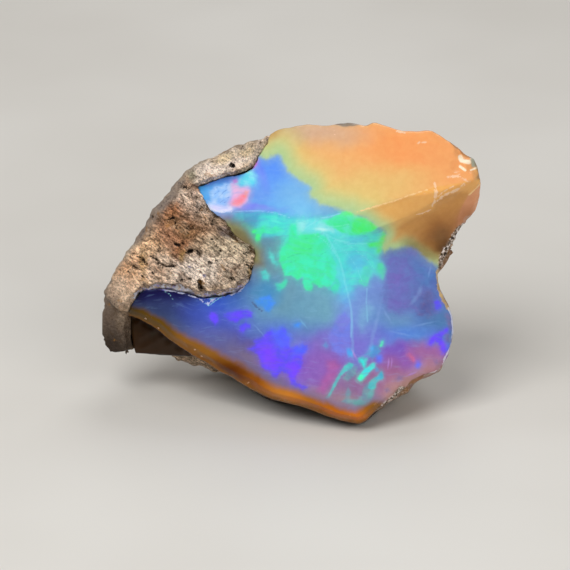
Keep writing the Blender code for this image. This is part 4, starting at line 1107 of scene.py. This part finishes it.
def opalMaterial():
    look = opalPiece
    noises, ranges, tints = look["noises"], look["ranges"], look["tints"]
    material, tree = newMaterial("precious_opal")
    place = facePlace(tree)
    flat = flattenedPlace(tree, place)
    drift = warped(tree, flat, look["drift"])
    unevenness = calc(tree, "SUBTRACT", cloud(tree, drift, noises["unevenness"]), 0.5)
    clouding = cloud(tree, drift, noises["clouding"])
    colour = flashes(tree, tone(look["ground"]), drift, clouding, unevenness)
    peach = peachFacet(tree, drift, unevenness)
    peachMask = patchMask(tree, "peach", look["peach"]["softness"], look["peach"]["ragged"],
                          unevenness)
    colour = mixed(tree, peachMask, colour, peach)
    # wisps, and a faint uneven grain in the play of colour
    colour = painted(tree, colour, warped(tree, flat, look["fraying"]), look["wisps"])
    grain = ranged(tree, cloud(tree, place, noises["grain"]), *ranges["grain"])
    colour = mixed(tree, look["grainShare"], colour, grain, "SOFT_LIGHT")
    # amber where the edge is thin, a painted glow of light through it, reached through a grey haze
    amber = look["amber"]
    amberAt = meshValue(tree, "amber")
    amberAt = calc(tree, "ADD", amberAt, centred(tree, clouding, amber["waver"]))
    haze = painted(tree, tone(amber["haze"]), drift, amber["hazeFields"])
    colour = mixed(tree, ranged(tree, amberAt, *ranges["haze"]), colour, haze)
    edge = painted(tree, tone(amber["tone"]), drift, amber["fields"])
    colour = mixed(tree, ranged(tree, amberAt, *ranges["amber"]), colour, edge)
    # a skin of rock left on the opal's edge
    skin = patchMask(tree, "crustSkin", *look["crustSkinEdge"], unevenness)
    speck = cloud(tree, place, noises["speck"])
    crust = tinted(tree, tone(look["crustGround"]), speck, tints["crustGrey"])
    crust = tinted(tree, crust, speck, tints["crustPale"])
    colour = mixed(tree, skin, colour, crust)
    # painted highlights on chips, crest and rim, bruises and fine lines
    for name, (code, strength, broken, _) in look["glints"].items():
        away = raggedValue(tree, name, unevenness, broken * look["glintSwing"])
        colour = tinted(tree, colour, away, (code, *look["glintEdge"], strength))
    # the worn sides, and the underside below the amber edge, darkened with depth as painted shade
    honey = wornSide(tree, place)
    blend = ranged(tree, cloud(tree, drift, noises["honeyBlend"]), *ranges["honeyBlend"])
    body = mixed(tree, blend, colour, honey)
    depth = meshValue(tree, "depth")
    depth = calc(tree, "ADD", depth, calc(tree, "MULTIPLY", unevenness, look["depthRagged"]))
    under = tinted(tree, tone(look["under"]), depth, tints["underShade"])
    body = mixed(tree, ranged(tree, amberAt, *ranges["under"]), body, under)
    colour = mixed(tree, ranged(tree, depth, *ranges["side"]), colour, body)
    # chipped and worn edges get a pale line here and there, partly frosted wear and partly a painted edge
    # highlight
    wearAndSheen = ranged(tree, meshValue(tree, "hollow"), *ranges["wearAndSheen"])
    for value, name in ((unevenness, "wornBroken"), (amberAt, "wornOffAmber")):
        wearAndSheen = calc(tree, "MULTIPLY", wearAndSheen, ranged(tree, value, *ranges[name]))
    colour = mixed(tree, calc(tree, "MULTIPLY", wearAndSheen, look["wearAndSheenShare"]), colour,
                   tone(look["wearAndSheenTone"]))
    # gloss with faint scratches and a greasy waver
    scratches = cloud(tree, stretched(tree, place, *look["scratch"]), noises["scratches"])
    rough = calc(tree, "ADD", ranged(tree, scratches, *ranges["scratches"]),
                 calc(tree, "MULTIPLY", wearAndSheen, look["wornRough"]))
    rough = calc(tree, "ADD", rough, ranged(tree, depth, *ranges["sideRough"]))
    ripple = cloud(tree, place, noises["ripple"])
    fine = cloud(tree, place, noises["fine"])
    height = calc(tree, "ADD", ripple, calc(tree, "MULTIPLY", fine, look["fineShare"]))
    finished(tree, {"Base Color": colour, "Roughness": rough,
                    "Normal": bumped(tree, height, *look["bump"]), **look["gloss"]})
    return material


# The host rock. Its front is a fresh, fibrous break; elsewhere it has a weathered, lumpy skin.
rockPiece = {
    "voxel": 0.142,
    "easing": 3,
    "reach": 0.62,          # closes the parting gap towards the opal up to this far
    "overlap": 0.05,
    "reachFade": (0.9, 0.6),
    "jointSearch": 3.0,     # how far off the opal is looked for
    "jointFacing": -0.3,    # how squarely the two must face each other at the joint
    "jointGap": 0.5,
    "jointCalm": 0.25,      # how much weaker the relief is there
    "jointRounds": 2,       # rounds of evening for that, the closing of the joint and the break
    "reachRounds": 3,
    "freshRounds": 3,
    "sink": 0.14,
    # the shoulder over the joint: height, gaps where it rises and falls, and slope
    "shoulder": (0.28, (0.05, 0.35), (1.3, 0.7), (0.0, 0.4)),
    # the fresh break: by slope, by noise, and by gap and slope beside the joint
    "freshFacing": (0.30, 0.62),
    "freshUneven": [(1.4, 0.25)],
    "freshBeside": ((1.3, 0.8), (-0.5, -0.1)),
    "freshLayers": [(2.4, 0.20), (1.1, 0.22), (0.55, 0.12), (0.30, 0.07)],   # size, height
    "grainLayers": [(1.0, 0.20), (0.5, 0.12)],      # size over that of a fibre, height
    "skinLayers": [(4.0, 0.5), (1.9, 0.28), (0.9, 0.14), (0.42, 0.10), (0.26, 0.05)],
    "fibre": (0.34, 1.5),   # size across and along the grain
    "fibreDepth": 0.10,
    "grooveSharp": 5.0,
    "grooveSize": 2.1,      # size of the drifts that the grooves come in
    "grooveDrift": (-0.35, 0.25),
    "grainBend": [(2.5, 0.5)],
    "grain": -36.0,         # degrees of the grain from the horizontal
    # smoother places on the fresh front: u, v, radii, tilt
    "smooth": [(-5.2, 20.6, 3.4, 1.2, 27), (-13.6, 9.6, 1.6, 3.6, 10), (-7.6, 18.9, 1.2, 0.6, 20)],
    "smoothEdge": (1.25, 0.75),
    "smoothGrooves": 0.8,   # how much less of the grooves and of the relief they have
    "smoothRelief": 0.6,
    # where the weathered skin shows beside the front, up the left flank
    "flankEdge": (-0.15, 0.25),
    "flankUneven": [(0.8, 0.3)],
    "flank": [
        (-7.9, 19.8), (-8.5, 18.6), (-8.9, 18.0), (-9.9, 17.0), (-10.5, 16.3), (-11.2, 15.4), (-11.7, 14.6),
        (-12.2, 13.7), (-12.9, 13.0), (-13.8, 12.4), (-14.5, 13.0), (-12.0, 17.6), (-9.6, 20.2)],
    "pits": 150,
    "pitRadius": (0.10, 0.34),
    "pitSpread": (0.4, 1.0),
    "pitBites": 3,
    "pitTaper": 0.2,
    "pitDepth": 0.7,        # over its radius
    # painted shade darkens the pits by their depth
    "pitFull": 0.25,        # depth at which a pit is fully dark
    # crannies that show on the front: a line in u, v, radius, depth
    "crannies": [
        ([(-4.6, 20.33), (-4.5, 20.3)], 0.18, 0.40), ([(-7.1, 16.9), (-6.75, 16.75)], 0.15, 0.35),
        ([(-5.98, 15.8), (-5.75, 15.82)], 0.17, 0.35), ([(-6.15, 15.62), (-6.05, 15.6)], 0.10, 0.25),
        ([(-5.35, 15.35), (-5.0, 15.15)], 0.30, 0.16), ([(-5.05, 14.95), (-4.55, 14.85)], 0.26, 0.18),
        ([(-7.95, 13.45), (-7.75, 13.55)], 0.17, 0.38), ([(-7.45, 13.6), (-7.1, 13.35)], 0.22, 0.20),
        ([(-7.08, 11.2), (-7.02, 10.65)], 0.15, 0.45), ([(-7.2, 17.3), (-7.0, 17.0)], 0.09, 0.30),
        ([(-6.25, 16.15), (-6.15, 16.05)], 0.09, 0.30), ([(-4.62, 14.8), (-4.5, 14.7)], 0.12, 0.34),
        ([(-10.4, 13.65), (-10.3, 13.55)], 0.10, 0.26), ([(-10.55, 12.9), (-10.4, 12.8)], 0.09, 0.26),
        ([(-12.35, 12.4), (-12.1, 12.3)], 0.14, 0.28), ([(-13.0, 12.1), (-12.8, 12.0)], 0.12, 0.24),
        ([(-11.65, 11.6), (-11.5, 11.5)], 0.10, 0.26), ([(-10.85, 11.9), (-10.75, 11.8)], 0.09, 0.26),
        ([(-8.55, 14.25), (-8.4, 14.15)], 0.09, 0.28), ([(-5.0, 12.05), (-4.85, 11.9)], 0.10, 0.26),
        ([(-7.1, 12.0), (-7.0, 11.9)], 0.08, 0.28), ([(-3.35, 13.85), (-3.25, 13.75)], 0.13, 0.34),
        ([(-11.1, 16.35), (-10.9, 16.25)], 0.12, 0.30), ([(-9.7, 14.9), (-9.5, 14.7)], 0.09, 0.26),
        ([(-6.3, 14.5), (-6.0, 14.35)], 0.08, 0.26), ([(-5.6, 13.6), (-5.4, 13.5)], 0.08, 0.26),
        ([(-9.5, 16.1), (-9.2, 16.15)], 0.14, 0.30), ([(-9.05, 15.9), (-8.85, 15.3)], 0.09, 0.24),
        ([(-8.1, 15.35), (-7.8, 15.5)], 0.13, 0.24), ([(-9.0, 14.1), (-8.7, 14.0)], 0.14, 0.28),
        ([(-10.4, 12.6), (-9.8, 12.3), (-9.1, 12.35)], 0.11, 0.26),
        ([(-11.5, 12.8), (-11.35, 12.5)], 0.15, 0.22), ([(-12.0, 13.1), (-11.7, 13.0)], 0.12, 0.20),
        ([(-11.0, 13.15), (-10.7, 13.0)], 0.10, 0.22), ([(-6.4, 12.6), (-5.7, 12.85)], 0.16, 0.16),
        ([(-3.5, 13.4), (-3.1, 13.6)], 0.20, 0.24), ([(-3.4, 12.5), (-3.1, 12.2)], 0.24, 0.22),
        ([(-4.7, 11.4), (-4.3, 11.3)], 0.16, 0.20), ([(-8.9, 11.2), (-7.9, 11.35)], 0.14, 0.16),
        ([(-8.6, 18.9), (-8.4, 18.6), (-7.9, 18.5)], 0.24, 0.15),
        ([(-4.2, 21.85), (-3.9, 21.75)], 0.18, 0.20),
    ],
    "crannyShares": (0.0, 0.33, 0.67, 1.0),
    "crannySpread": (0.8, 1.2),
    # painted shade darkens the crannies by their depth
    "crannyDark": 0.36,     # depth at which they are darkest, and how fast they pale above it
    "crannyPaling": 2.5,
    "crannyHidden": (5.0, (0.3, 0.0)),      # how far they fade where the surface turns away
    "hollowRounds": 4,
    "dipRounds": 20,
    # its weathered border along the opal, and the flaky frost under it
    "darkRimWidth": 0.2,
    "rimHidden": (3.0, (0.0, 0.3), (1.2, 0.5)),     # the same, by slope and by gap
    "frostEdge": (0.7, 1.2),
    "frostFall": 2.0,
    "darkRim": [
        (-6.3, 17.0), (-5.9, 16.5), (-5.35, 16.05), (-4.8, 15.6), (-4.4, 14.85), (-3.95, 14.25),
        (-3.2, 13.9), (-2.6, 13.4), (-2.4, 12.8), (-2.35, 12.2), (-2.6, 11.5), (-3.1, 10.9), (-3.9, 10.6)],
    "frost": [
        (-12.4, 10.55), (-11.6, 10.8), (-10.9, 10.7), (-10.0, 10.45), (-9.2, 10.35), (-8.3, 10.45),
        (-7.4, 10.15), (-6.6, 9.9), (-6.0, 10.2), (-5.2, 10.4), (-4.4, 10.4), (-3.8, 10.8)],
    # soft zones of colour on the fresh front
    "freshTone": "cbb094",
    "zones": [
        ("e0c8b4", 1.0, 0.7, [(-8.2, 17.4, 1.8, 1.3, -20)]),
        ("f2c79d", 1.0, 0.7, [(-10.9, 13.9, 2.4, 1.2, 50)]),
        ("b28d70", 1.0, 0.6, [(-7.4, 14.9, 2.9, 1.5, -16)]),
        ("b58364", 1.0, 0.6, [(-9.2, 15.6, 1.4, 2.0, 0)]),
        ("966f4c", 0.9, 0.8, [(-8.4, 15.3, 1.9, 0.7, -32)]),
        ("ae7650", 0.8, 0.7, [(-9.1, 16.7, 0.8, 0.6, 0), (-8.6, 13.6, 0.5, 0.9, 0)]),
        ("dcc8ac", 1.0, 0.7, [(-4.9, 13.6, 1.9, 1.2, 0)]),
        ("e4d2c2", 1.0, 0.7, [(-7.6, 11.9, 3.2, 1.1, 0)]),
        ("b4a28e", 0.9, 0.7, [(-4.6, 11.8, 1.0, 0.9, 0)]),
        ("7c6e6c", 0.85, 0.6, [(-5.05, 15.0, 0.7, 0.35, -45)]),
        ("b8904c", 0.8, 0.8, [(-3.0, 11.8, 0.3, 0.5, 0)]),
        ("d8baa0", 1.0, 0.8, [(-10.9, 11.9, 1.6, 1.1, 0)]),
        ("b08a48", 0.7, 0.8, [(-11.45, 12.6, 0.3, 0.8, 10), (-8.3, 13.2, 0.2, 0.5, 0)]),
        ("f2dfcf", 1.0, 0.5, [(-5.2, 20.6, 3.4, 1.2, 27)]),
        ("d6bc8c", 0.7, 0.7, [(-3.5, 21.5, 0.9, 0.5, 30), (-5.2, 20.9, 0.9, 0.4, 20)]),
        ("8c8a6c", 0.8, 0.7, [(-7.9, 19.4, 0.5, 0.5, 0)]),
        ("a88468", 0.9, 0.6, [(-7.9, 18.6, 0.8, 0.35, -30), (-8.4, 19.0, 0.3, 0.5, 0)]),
        ("e2b48c", 1.0, 0.7, [(-13.0, 12.0, 1.3, 1.3, 40)]),
        ("eccaac", 1.0, 0.7, [(-13.4, 10.4, 1.1, 1.0, 60)]),
        ("7880b8", 0.7, 0.6, [(-7.9, 12.1, 0.16, 0.09, -20), (-6.9, 11.5, 0.14, 0.08, 0)]),
    ],
    # painted shade: greyer and darker towards the foot of the left flank, which is in shadow, on skin and
    # break alike
    "foot": [
        ("6c5d52", 0.85, 0.8, [(-14.5, 8.2, 1.3, 2.4, 0)]),
        ("322923", 0.95, 0.8, [(-14.0, 5.9, 2.4, 2.0, 0)]),
        ("8c7c72", 0.6, 0.7, [(-11.6, 15.8, 4.2, 0.8, 50)]),
    ],
    # the noises in the finish: size in millimetres, detail, roughness
    "noises": {
        "fibres": (0.19, 5.0, 0.8), "grit": (0.15, 3.0, 0.75), "blotch": (1.3, 6.0, 0.72),
        "mottle": (0.42, 6.0, 0.78), "skinGrey": (4.5, 4.0, 0.6), "skinWarm": (2.6, 4.0, 0.6),
        "skinStain": (1.7, 5.0, 0.7), "stains": (0.9, 4.0, 0.65), "flake": (0.22, 3.0, 0.7),
        "frostViolet": (0.6, 2.0, 0.5),
    },
    # what a value is spread over: from, to, and the shares there
    "ranges": {
        "fibreShare": (0, 1, 0.7, 0.2), "contrast": (0, 1, 1.0, 0.42),
        "mottle": (0.38, 0.62, 0.60, 1.40), "texture": (0.40, 0.60, 0.36, 1.64),
        "darkRim": (0.7, 0.1), "rimMottle": (0.56, 0.44, 0.45, 0.95),
        "frost": (0.6, 0.35, 0, 0.95), "rough": (0.35, 0.65, 0.95, 0.74),
    },
    # tone, the values where it sets in and is full, and its strength there
    "tints": {
        "brownBlotch": ("94694a", 0.50, 0.64, 0.4), "paleBlotch": ("e4d0b4", 0.48, 0.36, 0.25),
        "darkGrain": ("3a281c", 0.42, 0.34, 0.9), "lightGrain": ("f2e4d0", 0.57, 0.66, 0.6),
        "fleck": ("2a1e16", 0.38, 0.33, 0.9),
        "skinGrey": ("94877e", 0.42, 0.58, 1.0), "skinWarm": ("c8aa86", 0.50, 0.66, 0.8),
        "skinStain": ("a4744c", 0.57, 0.68, 0.6), "skinDark": ("564438", 0.46, 0.34, 0.7),
        "skinLight": ("dccab2", 0.53, 0.66, 0.6), "skinRidge": ("d2bda2", -0.02, -0.12, 0.4),
        # painted shade: dip, hollow, groove, pit and cranny darken the rock's hollows, and seam darkens it
        # along the joint with the opal
        "dip": ("64503c", 0.0, 0.12, 0.3), "hollow": ("4a3626", 0.02, 0.08, 0.35),
        "groove": ("4e3826", 0.4, 1.0, 0.35), "pit": ("1c1613", 0.5, 1.1, 1.0),
        "cranny": ("1c1613", 1.2, 0.7, 0.95), "stains": ("b07c38", 0.60, 0.70, 0.5),
        "seam": ("54402e", 0.22, 0.05, 0.5), "frostViolet": ("9c90d8", 0.46, 0.62, 0.9),
    },
    "drift": [(2.0, 0.6), (0.7, 0.3)],      # size and push of what bends the zones' edges
    "grainRun": (0.32, 1.3, 1.0),           # stretch of the finest grain
    "fleckDrift": 0.3,
    "skinTone": "b09a86",
    "hollowGrit": 0.2,
    "grooveGrit": 2.0,
    "crannyRagged": (0.7, 0.85, 4.5),       # share of grit, middle, and how ragged
    "flakeSwing": 1.6,
    "rimRagged": 2.0,
    "rimTone": "4c3a24",
    "frostTone": "eeeefa",
    "mottleBump": 0.6,
    "bump": (1.0, 0.24 * mm),               # strength and depth
    "finish": {"Specular IOR Level": 0.25},
}


def towardsOpal(points, normals, opalMesh):
    # each point's gap to the opal, and the way there where it faces the opal over the joint
    tree = surfaceTree([toFace @ vert.co for vert in opalMesh.vertices], opalMesh)
    gap = np.full(len(points), stone["far"])
    way = np.zeros_like(points)
    for k, p in enumerate(points):
        hit, facing, _, away = tree.find_nearest(Vector(p), rockPiece["jointSearch"])
        if hit is not None:
            gap[k] = away
            if facing.dot(Vector(normals[k])) < rockPiece["jointFacing"]:
                way[k] = (hit - Vector(p)) / max(away, 1e-6)
    return gap, way


def freshShare(mesh, points, facing, gap):
    # 1 on the fresh break at the front, 0 on the weathered skin
    shape = rockPiece
    fresh = smoothStep(*shape["freshFacing"], facing + layered(points, shape["freshUneven"], 41))
    nearGap, nearFacing = shape["freshBeside"]
    fresh = np.maximum(fresh, smoothStep(*nearGap, gap) * smoothStep(*nearFacing, facing))
    flank = inwards(points[:, 0], points[:, 1], [shape["flank"]])
    flank = smoothStep(*shape["flankEdge"], flank + layered(points, shape["flankUneven"], 42))
    fresh *= 1 - flank
    return evened(mesh, fresh[:, None], shape["freshRounds"])[:, 0]


def alongGrain(points):
    # the points turned and squeezed, so that noise on them is drawn out along the grain
    turn = math.radians(rockPiece["grain"])
    across, along = rockPiece["fibre"]
    bent = points + layered(points, rockPiece["grainBend"], 33)[:, None]
    return np.stack([(bent[:, 0] * math.cos(turn) + bent[:, 1] * math.sin(turn)) / along,
                     (bent[:, 1] * math.cos(turn) - bent[:, 0] * math.sin(turn)) / across,
                     bent[:, 2] / along], axis=1)


def rockPits(mesh, points):
    # u, v, w, radius and depth of the pits by chance, and of the crannies on the front
    shape = rockPiece
    chance = random.Random(8)
    places = []
    for _ in range(shape["pits"]):
        # each pit is a short run of overlapping bites, so that none is round
        spot = points[chance.randrange(len(points))]
        radius = chance.uniform(*shape["pitRadius"]) * chance.uniform(*shape["pitSpread"])
        for step in range(shape["pitBites"]):
            places.append((*spot, radius * (1 - shape["pitTaper"] * step),
                           radius * shape["pitDepth"]))
            spot = spot + [chance.uniform(-1, 1) * radius for _ in range(3)]
    tree = surfaceTree(points, mesh)
    for line, radius, depth in shape["crannies"]:
        for (u0, v0), (u1, v1) in zip(line, line[1:]):
            for share in shape["crannyShares"]:
                pitU, pitV = u0 + (u1 - u0) * share, v0 + (v1 - v0) * share
                hit = frontAt(tree, pitU, pitV)
                if hit is not None:
                    spread = chance.uniform(*shape["crannySpread"])
                    places.append((pitU, pitV, hit.z, radius * spread, depth))
    return places


def makeRock(opalMesh):
    shape = rockPiece
    mesh = fineMesh("host_rock", shape["voxel"], shape["easing"])
    points, normals = movedBorder(readPoints(mesh)), readPoints(mesh, "normal")
    gap, toOpal = towardsOpal(points, normals, opalMesh)
    joint = np.linalg.norm(toOpal, axis=1) > 0.5
    u, v, w = points.T
    facing = normals[:, 2]
    fresh = freshShare(mesh, points, facing, gap)
    smooth = nearOvals(u, v, shape["smooth"], shape["smoothEdge"])
    grainPoints = alongGrain(points)
    groove = np.clip(1 - shape["grooveSharp"] * np.abs(noiseAt(grainPoints, 1.0, 31)), 0, 1)
    groove *= (fresh * (1 - shape["smoothGrooves"] * smooth)
               * smoothStep(*shape["grooveDrift"], noiseAt(points, shape["grooveSize"], 32)))
    freshRough = (layered(points, shape["freshLayers"], 20)
                  + layered(grainPoints, shape["grainLayers"], 26))
    rough = (fresh * (1 - shape["smoothRelief"] * smooth) * freshRough
             + (1 - fresh) * layered(points, shape["skinLayers"], 50)
             - shape["fibreDepth"] * groove)
    deep = bites(points, rockPits(mesh, points))
    nearJoint = np.where(joint & (gap < shape["jointGap"]), 0.0, 1.0)[:, None]
    nearJoint = evened(mesh, nearJoint, shape["jointRounds"])[:, 0]
    calm = shape["jointCalm"]
    free = groundFade(points) * (1 - calm + calm * nearJoint)
    points += normals * ((rough - shape["sink"] - deep) * free)[:, None]
    # the shoulder above the joint stands up steeply
    height, rise, fall, front = shape["shoulder"]
    points[:, 2] += (height * smoothStep(*rise, gap) * smoothStep(*fall, gap)
                     * smoothStep(*front, facing))
    # the joint closes on the opal, evened out so that the border stays clean
    closing = toOpal * (np.clip(gap + shape["overlap"], 0, shape["reach"])
                        * joint * smoothStep(*shape["reachFade"], gap))[:, None]
    points += evened(mesh, closing, shape["reachRounds"])
    writePoints(mesh, points)
    writeShare(mesh, "hollow", hollowness(mesh, shape["hollowRounds"]))
    writeShare(mesh, "dip", hollowness(mesh, shape["dipRounds"]))
    writeShare(mesh, "pit", deep / shape["pitFull"])
    dark, paling = shape["crannyDark"], shape["crannyPaling"]
    cranny = np.full(len(u), stone["far"])
    for line, radius, depth in shape["crannies"]:
        # painted shade: the shallower, the paler
        away = lineDistance(u, v, line) / radius
        cranny = np.minimum(cranny, away + (dark - depth) * paling)
    hidden, turned = shape["crannyHidden"]
    writeShare(mesh, "cranny", cranny + hidden * smoothStep(*turned, facing))
    for name, values in (("groove", groove), ("fresh", fresh), ("smooth", smooth), ("gap", gap)):
        writeShare(mesh, name, values)
    hidden, turned, apart = shape["rimHidden"]
    onFront = smoothStep(*turned, facing) * smoothStep(*apart, gap)
    writeShare(mesh, "darkRim", lineDistance(u, v, shape["darkRim"]) - shape["darkRimWidth"]
               + hidden * (1 - onFront))
    beside = smoothStep(*shape["frostEdge"], lineDistance(u, v, shape["frost"]))
    writeShare(mesh, "frost", gap + shape["frostFall"] * beside)
    return intoRoom(mesh, "tuff_crust", "host_rock")


def lowered(tree, value, noiseValue, amount):
    # a value that is raised where the noise is low
    away = calc(tree, "SUBTRACT", 0.5, noiseValue)
    return calc(tree, "ADD", value, calc(tree, "MULTIPLY", away, amount))


def rockMaterial():
    look = rockPiece
    noises, ranges, tints = look["noises"], look["ranges"], look["tints"]
    material, tree = newMaterial("tuff")
    place = facePlace(tree)
    flat = flattenedPlace(tree, place)
    drift = warped(tree, flat, look["drift"])
    kept = ("fresh", "smooth", "hollow", "dip")
    fresh, smooth, hollow, dip = [meshValue(tree, name) for name in kept]
    # fine grain: grit, and crumbs drawn out along the grain of the rock
    turned = add(tree, "Mapping", {"Vector": place, "Rotation": (0, 0, math.radians(look["grain"]))},
                 vector_type="TEXTURE").outputs[0]
    turned = stretched(tree, turned, 0, look["grainRun"])
    fibres = cloud(tree, turned, noises["fibres"])
    grit = cloud(tree, place, noises["grit"])
    fibreShare = calc(tree, "MULTIPLY", fresh, ranged(tree, smooth, *ranges["fibreShare"]))
    texture = add(tree, "Mix", {0: fibreShare, 2: grit, 3: fibres}).outputs[0]
    # the fresh front, with small dark flecks in drifts
    front = painted(tree, tone(look["freshTone"]), drift, look["zones"])
    blotch = cloud(tree, place, noises["blotch"])
    for name in ("brownBlotch", "paleBlotch"):
        front = tinted(tree, front, blotch, tints[name])
    contrast = ranged(tree, smooth, *ranges["contrast"])
    mottle = cloud(tree, turned, noises["mottle"])
    front = mixed(tree, 1.0, front, ranged(tree, mottle, *ranges["mottle"]), "MULTIPLY")
    front = mixed(tree, contrast, front, ranged(tree, texture, *ranges["texture"]), "MULTIPLY")
    for name in ("darkGrain", "lightGrain"):
        front = tinted(tree, front, texture, tints[name])
    front = tinted(tree, front, lowered(tree, grit, blotch, look["fleckDrift"]), tints["fleck"])
    # the weathered skin
    skin = tone(look["skinTone"])
    for name in ("skinGrey", "skinWarm", "skinStain"):
        skin = tinted(tree, skin, cloud(tree, place, noises[name]), tints[name])
    for name in ("skinDark", "skinLight"):
        skin = tinted(tree, skin, grit, tints[name])
    skin = tinted(tree, skin, dip, tints["skinRidge"])
    # painted shade darkens the foot of the left flank
    colour = painted(tree, mixed(tree, fresh, skin, front), drift, look["foot"])
    # painted shade in cavities, grooves, pits and crannies
    colour = tinted(tree, colour, dip, tints["dip"])
    colour = tinted(tree, colour, lowered(tree, hollow, grit, look["hollowGrit"]), tints["hollow"])
    groove = lowered(tree, meshValue(tree, "groove"), grit, look["grooveGrit"])
    colour = tinted(tree, colour, groove, tints["groove"])
    colour = tinted(tree, colour, meshValue(tree, "pit"), tints["pit"])
    cranny = meshValue(tree, "cranny")
    gritShare, middle, amount = look["crannyRagged"]
    ragged = calc(tree, "ADD", mottle, calc(tree, "MULTIPLY", grit, gritShare))
    ragged = calc(tree, "SUBTRACT", ragged, middle)
    cranny = calc(tree, "ADD", cranny, calc(tree, "MULTIPLY", ragged, amount))
    colour = tinted(tree, colour, cranny, tints["cranny"])
    # ochre and rust stains
    colour = tinted(tree, colour, cloud(tree, place, noises["stains"]), tints["stains"])
    # weathered rim beside the opal, painted shade along the joint, and flaky frost under the lower border
    gap = meshValue(tree, "gap")
    uneven = centred(tree, cloud(tree, place, noises["flake"]), look["flakeSwing"])
    rim = meshValue(tree, "darkRim")
    rim = calc(tree, "ADD", rim, calc(tree, "MULTIPLY", uneven, look["rimRagged"]))
    rim = ranged(tree, rim, *ranges["darkRim"])
    rim = calc(tree, "MULTIPLY", rim, ranged(tree, mottle, *ranges["rimMottle"]))
    colour = mixed(tree, rim, colour, tone(look["rimTone"]))
    frost = meshValue(tree, "frost")
    # painted shade along the joint with the opal
    colour = tinted(tree, colour, calc(tree, "ADD", gap, uneven), tints["seam"])
    frost = ranged(tree, calc(tree, "ADD", frost, uneven), *ranges["frost"])
    frostTone = tinted(tree, tone(look["frostTone"]), cloud(tree, place, noises["frostViolet"]),
                       tints["frostViolet"])
    colour = mixed(tree, frost, colour, frostTone)
    height = calc(tree, "ADD", texture, calc(tree, "MULTIPLY", mottle, look["mottleBump"]))
    bump = bumped(tree, height, *look["bump"])
    finished(tree, {"Base Color": colour, "Roughness": ranged(tree, texture, *ranges["rough"]),
                    "Normal": bump, **look["finish"]})
    return material


# A plain pale floor, soft lights and the camera
studio = {
    "floor": ("cfcbc4", "d8d5cf"),       # its two tones
    "floorHalf": 1.5,                    # metres from its middle to its edge
    "floorParts": 8,
    "floorCloud": (0.05, 3.0, 0.5),      # size in metres, detail and roughness of its mottling
    "floorSpread": (0.3, 0.7),
    "floorGloss": (0.5, 0.6),            # roughness of the two tones
    "surround": ("f6f5f3", 0.24),
    # lights: azimuth and elevation they come from, distance, size, power, seen in reflections
    "lights": {
        "key": (-42, 52, 0.40, 0.26, 1.12, False),
        "fill": (45, 25, 0.42, 0.34, 0.72, False),
        "back": (165, 50, 0.40, 0.20, 0.35, True),
        "strip": (-100, 30, 0.40, 0.10, 0.12, True),
    },
    "lit": (0, 0, 0.01),                 # the point they shine at, in metres
    "lens": 300,
    "sensor": 36,
    "clip": (0.01, 20),
    "aim": (-0.39, 10.87, -6.0),         # u, v, w of the middle of the view
    "width": 44.9,                       # mm across the view there
}


def makeFloor():
    bm = bmesh.new()
    parts = studio["floorParts"]
    bmesh.ops.create_grid(bm, x_segments=parts, y_segments=parts, size=studio["floorHalf"])
    mesh = bpy.data.meshes.new("floor")
    bm.to_mesh(mesh)
    bm.free()
    floor = placed("floor", mesh)
    material, tree = newMaterial("pale_floor")
    first, second = studio["floor"]
    soft = cloud(tree, add(tree, "TexCoord").outputs["Object"], studio["floorCloud"])
    colour = tinted(tree, tone(first), soft, (second, *studio["floorSpread"], 1.0))
    rough = ranged(tree, soft, *studio["floorSpread"], *studio["floorGloss"])
    finished(tree, {"Base Color": colour, "Roughness": rough})
    mesh.materials.append(material)


def aimAt(thing, place, target):
    thing.location = place
    thing.rotation_euler = (Vector(target) - Vector(place)).to_track_quat("-Z", "Y").to_euler()


def makeLights():
    world = bpy.data.worlds.new("studio")
    world.use_nodes = True
    backdrop = world.node_tree.nodes["Background"]
    code, strength = studio["surround"]
    backdrop.inputs["Color"].default_value = tone(code)
    backdrop.inputs["Strength"].default_value = strength
    bpy.context.scene.world = world
    for name, (azimuth, elevation, distance, size, power, glossy) in studio["lights"].items():
        light = bpy.data.lights.new(name, "AREA")
        light.size = size
        light.energy = power
        lamp = placed(name, light)
        lamp.visible_glossy = glossy
        turn, rise = math.radians(azimuth), math.radians(elevation)
        place = Vector((math.sin(turn) * math.cos(rise), -math.cos(turn) * math.cos(rise),
                        math.sin(rise))) * distance
        aimAt(lamp, place, studio["lit"])


def makeCamera():
    camera = bpy.data.cameras.new("camera")
    camera.lens = studio["lens"]
    camera.sensor_width = studio["sensor"]
    camera.clip_start, camera.clip_end = studio["clip"]
    view = placed("camera", camera)
    distance = studio["width"] * camera.lens / camera.sensor_width
    target = toRoom @ Vector(studio["aim"])
    place = toRoom @ (Vector(studio["aim"]) + Vector((0, 0, distance)))
    aimAt(view, place, target)
    bpy.context.scene.camera = view


opal = makeOpal()
print("opal shaped:", len(opal.data.polygons), "faces")
rock = makeRock(opal.data)
print("host rock shaped:", len(rock.data.polygons), "faces")
opal.data.materials.append(opalMaterial())
rock.data.materials.append(rockMaterial())
print("materials made")
makeFloor()
makeLights()
makeCamera()
bpy.context.scene.view_settings.view_transform = "Standard"
print("floor, lights and camera set")
